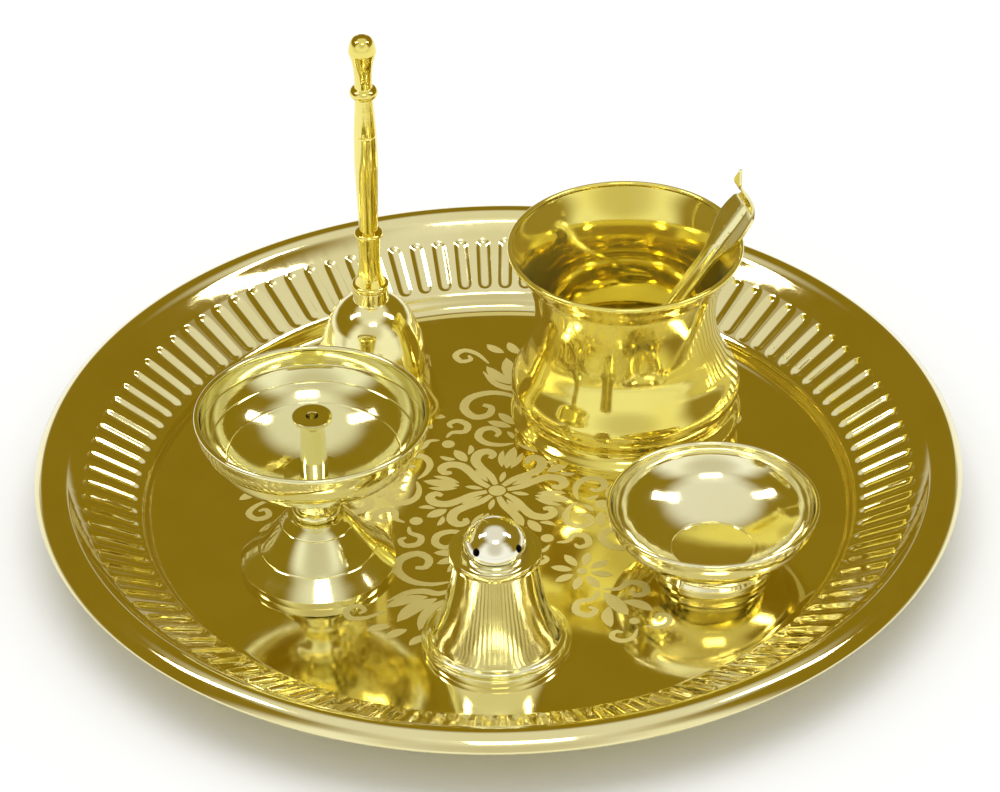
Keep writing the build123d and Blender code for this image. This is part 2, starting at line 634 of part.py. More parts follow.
# Incense holder body: a waisted hollow pillar on a beaded flange, with a dished plate on top
incense_section = section(INCENSE_X, INCENSE_Y)
incense_axis = upright(INCENSE_X, INCENSE_Y)
spigot_hole = DOME_SPIGOT_RADIUS + FIT
incense_dish = INCENSE_HEIGHT - INCENSE_DISH
incense_plate = incense_dish - INCENSE_PLATE
incense_bead_top = INCENSE_FLANGE_HEIGHT + INCENSE_BEAD_HEIGHT
incense_bead = INCENSE_FOOT_RADIUS + INCENSE_BEAD_REACH
incense_bead_foot = incense_bead - INCENSE_BEAD_HEIGHT / 2
incense_flange = incense_bead + INCENSE_FLANGE_REACH
incense_rim = INCENSE_NECK_RADIUS + INCENSE_RIM_REACH
incense_rim_foot = INCENSE_HEIGHT - INCENSE_RIM_HEIGHT
incense_waist = (incense_bead_top + incense_rim_foot) / 2
with BuildPart() as incense_body:
    with BuildSketch(incense_section):
        with BuildLine():
            Polyline(
                (INCENSE_FOOT_RADIUS - INCENSE_WALL, incense_bead_top),
                (INCENSE_FOOT_RADIUS - INCENSE_WALL, 0),
                (incense_flange, 0),
                (incense_flange, INCENSE_FLANGE_HEIGHT),
                (incense_bead_foot, INCENSE_FLANGE_HEIGHT),
            )
            ThreePointArc(
                (incense_bead_foot, INCENSE_FLANGE_HEIGHT),
                (incense_bead, (INCENSE_FLANGE_HEIGHT + incense_bead_top) / 2),
                (incense_bead_foot, incense_bead_top),
            )
            Line((incense_bead_foot, incense_bead_top), (INCENSE_FOOT_RADIUS, incense_bead_top))
            Spline(
                (INCENSE_FOOT_RADIUS, incense_bead_top),
                (INCENSE_WAIST_RADIUS, incense_waist),
                (INCENSE_NECK_RADIUS, incense_rim_foot),
            )
            Polyline(
                (INCENSE_NECK_RADIUS, incense_rim_foot),
                (incense_rim, incense_rim_foot),
                (incense_rim, INCENSE_HEIGHT),
                (incense_rim - INCENSE_RIM_WIDTH, INCENSE_HEIGHT),
                (incense_rim - INCENSE_RIM_WIDTH, incense_dish),
                (spigot_hole, incense_dish),
                (spigot_hole, incense_plate),
                (INCENSE_NECK_RADIUS - INCENSE_WALL, incense_plate),
            )
            Spline(
                (INCENSE_NECK_RADIUS - INCENSE_WALL, incense_plate),
                (INCENSE_WAIST_RADIUS - INCENSE_WALL, incense_waist),
                (INCENSE_FOOT_RADIUS - INCENSE_WALL, incense_bead_top),
            )
        make_face()
    revolve(axis=incense_axis)
incense_body.part.label = "incense_body"
export_step(incense_body.part, "parts/incense_body.step")

# Incense dome: a round head with a spigot in the plate and slanting holes for the sticks
dome_radius = incense_rim - INCENSE_RIM_WIDTH - DOME_GAP
dome_centre = incense_dish + DOME_SKIRT
hole_place = radians(STICK_HOLE_PLACE)
hole_lean = radians(STICK_HOLE_LEAN)
with BuildPart() as incense_dome:
    with BuildSketch(incense_section):
        with BuildLine():
            Polyline(
                (0, dome_centre + dome_radius),
                (0, incense_plate),
                (DOME_SPIGOT_RADIUS, incense_plate),
                (DOME_SPIGOT_RADIUS, incense_dish),
                (dome_radius, incense_dish),
                (dome_radius, dome_centre),
            )
            RadiusArc((dome_radius, dome_centre), (0, dome_centre + dome_radius), -dome_radius)
        make_face()
    revolve(axis=incense_axis)
    for index in range(STICK_HOLE_COUNT):
        turn = radians(STICK_HOLE_TURN + 360 / STICK_HOLE_COUNT * index)
        away = Vector(sin(turn), -cos(turn), 0)
        mouth = Vector(INCENSE_X, INCENSE_Y, FLOOR + dome_centre)
        mouth += (away * cos(hole_place) + Vector(0, 0, sin(hole_place))) * dome_radius
        rise = away * cos(hole_lean) + Vector(0, 0, sin(hole_lean))
        with Locations(Plane(origin=mouth - rise * STICK_HOLE_DEPTH, z_dir=rise)):
            Cylinder(STICK_HOLE_RADIUS, STICK_HOLE_DEPTH * 2, align=RISING, mode=Mode.SUBTRACT)
incense_dome.part.label = "incense_dome"
export_step(incense_dome.part, "parts/incense_dome.step")

# Water pot: a spun pot with a rounded belly, a narrow neck, a flaring mouth and a recessed foot
pot_section = section(POT_X, POT_Y)
pot_bead = (POT_MOUTH_RADIUS - POT_LIP_BEAD, POT_HEIGHT - POT_LIP_BEAD)
pot_recess = POT_FOOT_RADIUS - POT_FOOT_WIDTH
pot_floor_radius = POT_GROOVE_RADIUS - POT_FLOOR_INSET


def pot_line(wall: float) -> list[tuple[float, float]]:
    """The pot's points from groove to mouth, moved inwards by a wall thickness."""
    shoulder = (
        POT_NECK_RADIUS + POT_SHOULDER_SHARES[0] * (POT_BELLY_RADIUS - POT_NECK_RADIUS),
        POT_BELLY_HEIGHT + POT_SHOULDER_SHARES[1] * (POT_NECK_HEIGHT - POT_BELLY_HEIGHT),
    )
    flare = (
        POT_NECK_RADIUS + POT_FLARE_SHARES[0] * (POT_MOUTH_RADIUS - POT_NECK_RADIUS),
        POT_NECK_HEIGHT + POT_FLARE_SHARES[1] * (POT_HEIGHT - POT_NECK_HEIGHT),
    )
    return [
        (POT_GROOVE_RADIUS - wall, POT_GROOVE_HEIGHT),
        (POT_BELLY_RADIUS - wall, POT_BELLY_HEIGHT),
        (shoulder[0] - wall, shoulder[1]),
        (POT_NECK_RADIUS - wall, POT_NECK_HEIGHT),
        (flare[0] - wall, flare[1]),
        (pot_bead[0] + POT_WALL / 2 - wall, pot_bead[1]),
    ]


with BuildPart() as water_pot:
    with BuildSketch(pot_section):
        with BuildLine():
            outer = pot_line(0)
            inner = pot_line(POT_WALL)
            Polyline(
                (0, POT_FLOOR),
                (0, POT_RECESS_DEPTH),
                (pot_recess, POT_RECESS_DEPTH),
                (pot_recess, 0),
                (POT_FOOT_RADIUS, 0),
                (POT_FOOT_RADIUS, POT_FOOT_EDGE),
            )
            Spline((POT_FOOT_RADIUS, POT_FOOT_EDGE), *outer)
            Line(outer[-1], inner[-1])
            Spline((pot_floor_radius, POT_FLOOR), *inner)
            Line((pot_floor_radius, POT_FLOOR), (0, POT_FLOOR))
        make_face()
        with Locations(pot_bead):
            Circle(POT_LIP_BEAD)
    revolve(axis=upright(POT_X, POT_Y))
water_pot.part.label = "water_pot"
export_step(water_pot.part, "parts/water_pot.step")

# Spoon: a ridged stem that widens to a hood with a curled tip, and a boat-shaped bowl
spoon_turn = radians(SPOON_TURN)
spoon_lean = radians(SPOON_LEAN)
outwards = Vector(cos(spoon_turn), sin(spoon_turn), 0)
along = outwards * cos(spoon_lean) + Vector(0, 0, sin(spoon_lean))
across = Vector(-sin(spoon_turn), cos(spoon_turn), 0)
over = outwards * -sin(spoon_lean) + Vector(0, 0, cos(spoon_lean))
spoon_rest = Vector(POT_X, POT_Y, FLOOR + pot_bead[1]) + outwards * pot_bead[0]
spoon_rest += over * (POT_LIP_BEAD + SPOON_REST)
spoon_roll = radians(SPOON_ROLL)
across, over = (
    across * cos(spoon_roll) + over * sin(spoon_roll),
    over * cos(spoon_roll) - across * sin(spoon_roll),
)
# the bowl is the low cap of a long spheroid, its lowest point just above the pot's floor
spoon_half = SPOON_BOWL_LENGTH / 2
spoon_rim = SPOON_SHEET
spoon_centre = spoon_rim + SPOON_BOWL_RADIUS - SPOON_BOWL_DEPTH
spoon_reach = sqrt((spoon_half * sin(spoon_lean)) ** 2 + (SPOON_BOWL_RADIUS * cos(spoon_lean)) ** 2)
spoon_drop = spoon_rest.Z + spoon_centre * over.Z - FLOOR - POT_FLOOR - LOOSE - spoon_reach
spoon_place = -spoon_drop / sin(spoon_lean)
stem_start = spoon_place + spoon_half * sqrt(1 - (spoon_centre / SPOON_BOWL_RADIUS) ** 2) - SPOON_SHEET
ridge_line = [
    (-SPOON_HOOD_WIDTH / 2, SPOON_WING_RISE),
    (-SPOON_RIDGE_WIDTH / 2, 0),
    (0, SPOON_RIDGE_RISE),
    (SPOON_RIDGE_WIDTH / 2, 0),
    (SPOON_HOOD_WIDTH / 2, SPOON_WING_RISE),
]
top_line = [(side, height + SPOON_SHEET) for side, height in ridge_line]
side_plane = Plane(origin=spoon_rest, x_dir=along, z_dir=across * -1)
spoon_axis = Axis(spoon_rest + along * spoon_place + over * spoon_centre, along)
with BuildPart() as spoon_bowl:
    with BuildSketch(side_plane):
        with Locations((spoon_place, spoon_centre)):
            Ellipse(spoon_half, SPOON_BOWL_RADIUS)
            Ellipse(spoon_half - SPOON_SHEET, SPOON_BOWL_RADIUS - SPOON_SHEET, mode=Mode.SUBTRACT)
            upper = (Align.CENTER, Align.MIN)
            Rectangle(SPOON_BOWL_LENGTH, SPOON_BOWL_RADIUS, align=upper, mode=Mode.INTERSECT)
    revolve(axis=spoon_axis)
    split(bisect_by=Plane(spoon_rest + over * spoon_rim, z_dir=over), keep=Keep.BOTTOM)

with BuildSketch(Plane.XY) as spoon_section:
    with BuildLine():
        FilletPolyline(*ridge_line, radius=SPOON_RIDGE_FILLET)
        FilletPolyline(*top_line, radius=SPOON_RIDGE_FILLET)
        Line(ridge_line[0], top_line[0])
        Line(ridge_line[-1], top_line[-1])
    make_face()

# the end of the hood curls up, narrows to a neck and bends forward into a small leaf
crest_start = SPOON_HOOD_OUTSIDE - SPOON_SHEET
crest_top = SPOON_WING_RISE + SPOON_SHEET
with BuildPart() as spoon_crest:
    with BuildSketch(side_plane):
        with BuildLine():
            low_flat = Line((crest_start, SPOON_WING_RISE), (SPOON_HOOD_OUTSIDE, SPOON_WING_RISE))
            low_curl = JernArc(low_flat @ 1, low_flat % 1, SPOON_CURL_ROUND + SPOON_SHEET, SPOON_CURL)
            low_wall = PolarLine(low_curl @ 1, SPOON_CURL_WALL, direction=low_curl % 1)
            low_bend = JernArc(low_wall @ 1, low_wall % 1, SPOON_LEAF_ROUND, SPOON_LEAF_LEAN - SPOON_CURL)
            low_leaf = PolarLine(low_bend @ 1, SPOON_LEAF_LENGTH, direction=low_bend % 1)
            top_flat = Line((crest_start, crest_top), (SPOON_HOOD_OUTSIDE, crest_top))
            top_curl = JernArc(top_flat @ 1, top_flat % 1, SPOON_CURL_ROUND, SPOON_CURL)
            top_wall = PolarLine(top_curl @ 1, SPOON_CURL_WALL, direction=top_curl % 1)
            top_bend = JernArc(
                top_wall @ 1, top_wall % 1, SPOON_LEAF_ROUND + SPOON_SHEET, SPOON_LEAF_LEAN - SPOON_CURL
            )
            top_leaf = PolarLine(top_bend @ 1, SPOON_LEAF_LENGTH, direction=top_bend % 1)
            Line(low_flat @ 0, top_flat @ 0)
            Line(low_leaf @ 1, top_leaf @ 1)
        make_face()
    extrude(amount=SPOON_HOOD_WIDTH / 2, both=True)
    run = top_leaf @ 1 - low_flat @ 0
    crest_length = run.length
    crest_up = (along * run.X + over * run.Y) * (1 / crest_length)
    crest_face = (over * run.X - along * run.Y) * (1 / crest_length)
    crest_foot = spoon_rest + along * crest_start + over * SPOON_WING_RISE
    with BuildSketch(Plane(origin=crest_foot, x_dir=crest_up, z_dir=crest_face)):
        with BuildLine():
            Line((0, 0), (0, SPOON_HOOD_END / 2))
            Spline(
                (0, SPOON_HOOD_END / 2),
                (SPOON_NECK_SHARE * crest_length, SPOON_NECK_WIDTH / 2),
                tangents=[(1, -1), (1, 0)],
            )
            Polyline(
                (SPOON_NECK_SHARE * crest_length, SPOON_NECK_WIDTH / 2),
                (SPOON_LEAF_SHARE * crest_length, SPOON_LEAF_WIDTH / 2),
                (crest_length + SPOON_SHEET / 2, 0),
            )
            mirror(about=Plane.XZ)
        make_face()
    extrude(amount=crest_length, both=True, mode=Mode.INTERSECT)

# the ridge runs out into the curl
with BuildPart() as spoon_ridge_end:
    with BuildSketch(Plane(origin=spoon_rest + along * crest_start, x_dir=across, z_dir=along)):
        add(spoon_section.sketch)
    extrude(amount=SPOON_CURL_ROUND)
    with BuildSketch(side_plane):
        with Locations((SPOON_HOOD_OUTSIDE, crest_top + SPOON_CURL_ROUND)):
            Circle(SPOON_CURL_ROUND + SPOON_SHEET / 2)
    extrude(amount=SPOON_RIDGE_WIDTH / 2, both=True, mode=Mode.INTERSECT)

with BuildPart() as spoon:
    with BuildSketch(Plane(origin=spoon_rest + along * stem_start, x_dir=across, z_dir=along)):
        add(spoon_section.sketch)
    extrude(amount=SPOON_HOOD_OUTSIDE - stem_start)
    with BuildSketch(Plane(origin=spoon_rest, x_dir=along, z_dir=over)):
        with BuildLine():
            Polyline(
                (stem_start, 0),
                (stem_start, SPOON_STEM_WIDTH / 2),
                (-SPOON_HOOD_INSIDE, SPOON_STEM_WIDTH / 2),
            )
            Spline(
                (-SPOON_HOOD_INSIDE, SPOON_STEM_WIDTH / 2),
                (SPOON_HOOD_SWELL, SPOON_HOOD_WIDTH / 2),
                tangents=[(1, 0), (1, 0)],
            )
            Spline(
                (SPOON_HOOD_SWELL, SPOON_HOOD_WIDTH / 2),
                (SPOON_HOOD_OUTSIDE, SPOON_HOOD_END / 2),
                tangents=[(1, 0), (1, -1)],
            )
            Line((SPOON_HOOD_OUTSIDE, SPOON_HOOD_END / 2), (SPOON_HOOD_OUTSIDE, 0))
            mirror(about=Plane.XZ)
        make_face()
    extrude(amount=SPOON_HOOD_WIDTH, both=True, mode=Mode.INTERSECT)
    add(spoon_crest.part)
    add(spoon_ridge_end.part)
    add(spoon_bowl.part)
spoon.part.label = "spoon"
export_step(spoon.part, "parts/spoon.step")

# Small bowl: a half-ellipsoid with a beaded rim, a waisted foot ring and a round well in its floor
bowl_inner_radius = BOWL_MOUTH_RADIUS - BOWL_WALL
bowl_inner_depth = BOWL_DEPTH - BOWL_WALL
well_floor = BOWL_STAND + BOWL_FLOOR
well_rim = well_floor + BOWL_WELL_DEPTH
bowl_mouth = well_rim + bowl_inner_depth * sqrt(1 - (BOWL_WELL_RADIUS / bowl_inner_radius) ** 2)
foot_top_radius = BOWL_FOOT_RADIUS - BOWL_FOOT_WAIST
foot_top = bowl_mouth - BOWL_DEPTH * sqrt(1 - (foot_top_radius / BOWL_MOUTH_RADIUS) ** 2)
foot_inside = BOWL_FOOT_RADIUS - BOWL_FOOT_WIDTH
bowl_outside = cap_half(BOWL_MOUTH_RADIUS, BOWL_DEPTH, bowl_mouth, BOWL_STAND)
bowl_inside = cap_half(bowl_inner_radius, bowl_inner_depth, bowl_mouth, well_rim)
with BuildPart() as small_bowl:
    with BuildSketch(section(BOWL_X, BOWL_Y)):
        with BuildLine():
            Polyline(
                (BOWL_FOOT_RADIUS, BOWL_FOOT_EDGE),
                (BOWL_FOOT_RADIUS, 0),
                (foot_inside, 0),
                (foot_inside, foot_top),
                (foot_top_radius, foot_top),
            )
            Spline(
                (foot_top_radius, foot_top),
                (BOWL_FOOT_RADIUS, BOWL_FOOT_EDGE),
                tangents=[(0, -1), (1, -1)],
            )
        make_face()
        add(bowl_outside)
        add(bowl_inside, mode=Mode.SUBTRACT)
        with Locations((0, well_floor)):
            Rectangle(BOWL_WELL_RADIUS, BOWL_WELL_DEPTH, align=Align.MIN, mode=Mode.SUBTRACT)
        with Locations((BOWL_MOUTH_RADIUS - BOWL_WALL / 2, bowl_mouth)):
            Circle(BOWL_RIM_BEAD)
    revolve(axis=upright(BOWL_X, BOWL_Y))
small_bowl.part.label = "small_bowl"
export_step(small_bowl.part, "parts/small_bowl.step")
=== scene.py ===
"""Looks of a brass puja thali set: a fluted tray, a hand bell, an oil lamp, an incense holder,
a water pot with its spoon, and a small bowl. Sizes are in millimetres until a mesh is made."""

from __future__ import annotations

import json
import logging
import math
from collections.abc import Iterator
from contextlib import contextmanager
from dataclasses import dataclass
from enum import Enum

import bpy
from mathutils import Matrix, Vector

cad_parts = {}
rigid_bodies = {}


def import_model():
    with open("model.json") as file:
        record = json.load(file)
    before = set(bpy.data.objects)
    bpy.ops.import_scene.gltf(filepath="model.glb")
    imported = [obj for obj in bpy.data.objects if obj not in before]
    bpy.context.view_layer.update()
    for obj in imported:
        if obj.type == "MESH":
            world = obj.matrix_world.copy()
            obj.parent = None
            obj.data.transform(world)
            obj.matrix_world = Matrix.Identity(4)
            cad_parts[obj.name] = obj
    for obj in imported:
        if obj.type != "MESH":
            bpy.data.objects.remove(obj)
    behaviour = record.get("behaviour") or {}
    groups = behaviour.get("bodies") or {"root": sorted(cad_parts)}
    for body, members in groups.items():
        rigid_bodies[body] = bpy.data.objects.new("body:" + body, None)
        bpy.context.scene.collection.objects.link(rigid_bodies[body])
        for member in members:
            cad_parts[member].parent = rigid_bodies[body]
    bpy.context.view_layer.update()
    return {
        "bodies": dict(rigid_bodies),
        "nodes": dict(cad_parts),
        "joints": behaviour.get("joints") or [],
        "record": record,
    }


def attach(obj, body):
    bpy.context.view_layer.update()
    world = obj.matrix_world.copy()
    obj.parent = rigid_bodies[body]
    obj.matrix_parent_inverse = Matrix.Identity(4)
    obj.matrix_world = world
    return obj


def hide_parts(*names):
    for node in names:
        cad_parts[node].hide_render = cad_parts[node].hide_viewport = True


LOG = logging.getLogger("thali_set")
MM = 0.001
WELD = 1e-7
TURN_WELD = 2e-7
FLUTE_WELD = 2e-6
SHARP_EDGE = math.radians(33)
SMOOTH_FACE = math.radians(40)
FIRM_CREASE = math.radians(50)
UP = Vector((0, 0, 1))
TRAY_FLOOR = 1.0
TRAY_FLOOR_RADIUS = 115.0
POT_FOOT_RADIUS = 39.0
CLOUD_SCALE = 34.0
SMEAR_SCALE = 210.0
TURNING_SCALE = (6.0, 6.0, 2600.0)
MARK_ROUGHNESS = 0.05

Spot = tuple[float, float]
Knot = tuple[float, float, "Bend"]
Path = list[Spot]
Point = tuple[float, float, float]
Piece = bpy.types.Object
Colour = tuple[float, float, float, float]


class Bend(Enum):
    """How an outline passes a knot."""

    SMOOTH = "AUTO"
    CORNER = "VECTOR"


@dataclass(frozen=True)
class Place:
    """The axis of a turned piece and the level that its heights count from.

    Args:
        x: Axis position to the right.
        y: Axis position to the back.
        level: Height of the surface that the piece stands on.
    """

    x: float
    y: float
    level: float = TRAY_FLOOR

    @classmethod
    def on_floor(cls, turn: float, reach: float) -> Place:
        """Returns a place on the tray floor.

        Args:
            turn: Direction from the tray's centre, in degrees from the right.
            reach: Distance from the centre.
        """
        return cls(reach * math.cos(math.radians(turn)), reach * math.sin(math.radians(turn)))

    def at(self, radius: float, height: float) -> Vector:
        """Returns a point of the outline in metres."""
        return Vector((self.x + radius, self.y, self.level + height)) * MM

    def centre(self, height: float = 0.0) -> Vector:
        """Returns a point on the axis in metres."""
        return self.at(0.0, height)


def smooth(*pairs: Spot) -> list[Knot]:
    """Returns knots that the outline passes in one smooth line."""
    return [(radius, height, Bend.SMOOTH) for radius, height in pairs]


def corner(*pairs: Spot) -> list[Knot]:
    """Returns knots where the outline turns sharply."""
    return [(radius, height, Bend.CORNER) for radius, height in pairs]


def steps_between(first: float, last: float, count: int) -> list[float]:
    """Returns evenly spaced values with both ends."""
    return [first + (last - first) * i / (count - 1) for i in range(count)]


def bow_points(centre: Spot, bow: float, turns: list[float]) -> Path:
    """Returns points on a circle.

    Args:
        centre: Radius and height of the circle's centre.
        bow: Radius of the circle itself.
        turns: Angle of each point, in degrees from outwards.
    """
    ways = [(math.cos(math.radians(turn)), math.sin(math.radians(turn))) for turn in turns]
    return [(centre[0] + bow * out, centre[1] + bow * up) for out, up in ways]


def arc(radius: float, height: float, bow: float, start: float, stop: float, count: int = 9) -> list[Knot]:
    """Draws a round stretch of an outline.

    Args:
        radius: Distance of the arc's centre from the axis.
        height: Height of the arc's centre.
        bow: Radius of the arc itself.
        start: First angle, in degrees from outwards.
        stop: Last angle.
        count: Number of knots.

    Returns:
        Smooth knots with a corner at each end.
    """
    points = bow_points((radius, height), bow, steps_between(start, stop, count))
    return [*corner(points[0]), *smooth(*points[1:-1]), *corner(points[-1])]


def dish(reach: float, depth: float, mouth: float, heights: list[float]) -> Path:
    """Returns points of a half-ellipse bowl line at the given heights."""
    return [(reach * math.sqrt(max(0.0, 1 - ((mouth - h) / depth) ** 2)), h) for h in heights]


def fine_line(points: Path, grain: int) -> Path:
    """Returns a finer line that passes smoothly through all points.

    Args:
        points: Points of the line.
        grain: Number of short stretches between two points.
    """
    spots = [Vector(point) for point in points]
    ends = [2 * spots[0] - spots[1], *spots, 2 * spots[-1] - spots[-2]]
    line = []
    for before, start, stop, after in zip(ends, ends[1:], ends[2:], ends[3:]):
        for s in (index / grain for index in range(grain)):
            bend = (2 * before - 5 * start + 4 * stop - after) * s * s
            bend += (3 * start - before - 3 * stop + after) * s**3
            line.append(tuple((2 * start + (stop - before) * s + bend) / 2))
    return [*line, points[-1]]


def incised(line: Path, heights: tuple[float, ...]) -> list[Knot]:
    """Returns a fine line's inner points as knots, with an incised ring nearest to each height."""
    rings = {min(range(1, len(line) - 1), key=lambda i: abs(line[i][1] - height)) for height in heights}
    knots = []
    for index in range(1, len(line) - 1):
        knots += groove(line[index], line[index + 1]) if index in rings else smooth(line[index])
    return knots


def groove(spot: Spot, ahead: Spot, width: float = 0.6, depth: float = 0.12) -> list[Knot]:
    """Cuts a fine incised line into an outline.

    Args:
        spot: Point of the outline.
        ahead: A second point, further on along the outline.
        width: Width of the line.
        depth: Depth of the line, to the left of the way ahead.

    Returns:
        Three knots.
    """
    middle = Vector(spot)
    way = (Vector(ahead) - middle).normalized()
    deep = middle + Vector((-way.y, way.x)) * depth
    return corner(tuple(middle - way * width / 2), tuple(deep), tuple(middle + way * width / 2))


def clear_selection() -> None:
    """Leaves edit mode and deselects everything."""
    if bpy.context.object is not None and bpy.context.object.mode != "OBJECT":
        bpy.ops.object.mode_set(mode="OBJECT")
    bpy.ops.object.select_all(action="DESELECT")


def pick(piece: Piece) -> None:
    """Makes a piece the only selected and active object."""
    clear_selection()
    piece.select_set(True)
    bpy.context.view_layer.objects.active = piece


@contextmanager
def editing(piece: Piece) -> Iterator[None]:
    """Opens a piece for editing with all its points selected, and closes it afterwards."""
    pick(piece)
    bpy.ops.object.mode_set(mode="EDIT")
    bpy.ops.mesh.select_mode(type="VERT")
    bpy.ops.mesh.select_all(action="SELECT")
    yield
    bpy.ops.mesh.select_mode(type="VERT")
    bpy.ops.object.mode_set(mode="OBJECT")


def spun_copies(centre: Vector, angle: float, steps: int, weld: float, dupli: bool = False) -> None:
    """Spins the open piece's selection about an upright axis and welds what meets.

    Args:
        centre: A point on the axis, in metres.
        angle: Whole turn, in radians.
        steps: Number of steps in the turn.
        weld: Distance within which points become one, in metres.
        dupli: Whether the steps are separate copies.
    """
    bpy.ops.mesh.spin(steps=steps, dupli=dupli, angle=angle, center=centre, axis=UP)
    bpy.ops.mesh.select_all(action="SELECT")
    bpy.ops.mesh.remove_doubles(threshold=weld)


def joined(pieces: list[Piece]) -> Piece:
    """Joins pieces into the first one."""
    pick(pieces[0])
    for piece in pieces:
        piece.select_set(True)
    bpy.ops.object.join()
    return pieces[0]


def thicken(piece: Piece, sheet: float) -> None:
    """Gives an open surface the thickness of its sheet, half to each side."""
    with editing(piece):
        bpy.ops.mesh.normals_make_consistent(inside=False)
    thick = piece.modifiers.new("sheet", "SOLIDIFY")
    thick.thickness = sheet * MM
    thick.offset = 0.0
    bpy.ops.object.modifier_apply(modifier=thick.name)


def outline_mesh(name: str, place: Place, knots: list[Knot], closed: bool, fineness: int = 10) -> Piece:
    """Draws an outline as a curve beside the axis and makes it a line of edges.

    Args:
        name: Name of the new object.
        place: Axis and level.
        knots: The outline.
        closed: Whether the last knot joins the first.
        fineness: Points per smooth stretch between knots.

    Returns:
        The new mesh object, with edges only.
    """
    clear_selection()
    bpy.ops.curve.primitive_bezier_curve_add(location=(0, 0, 0))
    piece = bpy.context.object
    piece.name = name
    piece.data.dimensions = "3D"
    piece.data.resolution_u = fineness
    line = piece.data.splines[0]
    line.bezier_points.add(len(knots) - len(line.bezier_points))
    for point, (radius, height, bend) in zip(line.bezier_points, knots):
        point.co = place.at(radius, height)
        point.handle_left_type = bend.value
        point.handle_right_type = bend.value
    line.use_cyclic_u = closed
    bpy.ops.object.convert(target="MESH")
    return bpy.context.object


def turned(
    name: str, place: Place, knots: list[Knot], closed: bool, steps: int = 192, edge: float = 0.22
) -> Piece:
    """Turns an outline round its axis as on a lathe, with softened edges.

    Args:
        name: Name of the new object.
        place: Axis and level.
        knots: The outline, closed on itself or open with both ends on the axis.
        closed: Whether the outline is closed.
        steps: Number of segments round the axis.
        edge: Width of the softening along sharp edges.

    Returns:
        The finished mesh object.
    """
    piece = outline_mesh(name, place, knots, closed)
    with editing(piece):
        bpy.ops.mesh.remove_doubles(threshold=WELD)
        spun_copies(place.centre(), math.tau, steps, TURN_WELD)
        bpy.ops.mesh.normals_make_consistent(inside=False)
        bpy.ops.mesh.select_mode(type="EDGE")
        bpy.ops.mesh.select_all(action="DESELECT")
        bpy.ops.mesh.edges_select_sharp(sharpness=SHARP_EDGE)
        bpy.ops.mesh.bevel(offset=edge * MM, segments=3, profile=0.5, affect="EDGES", clamp_overlap=True)
    bpy.ops.object.shade_smooth_by_angle(angle=SMOOTH_FACE)
    return piece


class Graph:
    """A small hand for laying out shader nodes."""

    def __init__(self, tree: bpy.types.NodeTree) -> None:
        """Starts from an empty tree."""
        self.tree = tree
        self.tree.nodes.clear()

    def node(self, kind: str, **settings: object) -> bpy.types.Node:
        """Adds a node and sets its properties."""
        made = self.tree.nodes.new(kind)
        for key, value in settings.items():
            setattr(made, key, value)
        return made

    def feed(self, socket: bpy.types.NodeSocket, value: object) -> None:
        """Links an output to a socket, or sets the socket's own value."""
        if isinstance(value, bpy.types.NodeSocket):
            self.tree.links.new(value, socket)
        else:
            socket.default_value = value

    def math(self, operation: str, first: object, second: object = 0.0) -> bpy.types.NodeSocket:
        """Adds a math node and returns its value."""
        made = self.node("ShaderNodeMath", operation=operation)
        self.feed(made.inputs[0], first)
        self.feed(made.inputs[1], second)
        return made.outputs[0]

    def ramp(self, value: object, low: float, high: float, start: float, stop: float) -> bpy.types.NodeSocket:
        """Maps a value smoothly from low..high to start..stop and returns it."""
        made = self.node("ShaderNodeMapRange", interpolation_type="SMOOTHSTEP")
        for socket, given in zip(made.inputs[:5], (value, low, high, start, stop)):
            self.feed(socket, given)
        return made.outputs[0]

    def mix(self, factor: object, first: object, second: object) -> bpy.types.NodeSocket:
        """Mixes two colours and returns the result."""
        made = self.node("ShaderNodeMix", data_type="RGBA")
        for index, given in ((0, factor), (6, first), (7, second)):
            self.feed(made.inputs[index], given)
        return made.outputs[2]

    def noise(self, place: object, scale: float, detail: float = 2.0) -> bpy.types.NodeSocket:
        """Adds cloudy noise over a place and returns its value."""
        made = self.node("ShaderNodeTexNoise")
        for name, given in (("Vector", place), ("Scale", scale), ("Detail", detail)):
            self.feed(made.inputs[name], given)
        return made.outputs["Fac"]

    def close(self, surface: bpy.types.NodeSocket, kind: str = "ShaderNodeOutputMaterial") -> None:
        """Ends the tree in its output node."""
        self.feed(self.node(kind).inputs["Surface"], surface)


def blank_material(name: str) -> tuple[bpy.types.Material, Graph]:
    """Returns a new material and the hand that lays out its nodes."""
    material = bpy.data.materials.new(name)
    material.use_nodes = True
    return material, Graph(material.node_tree)


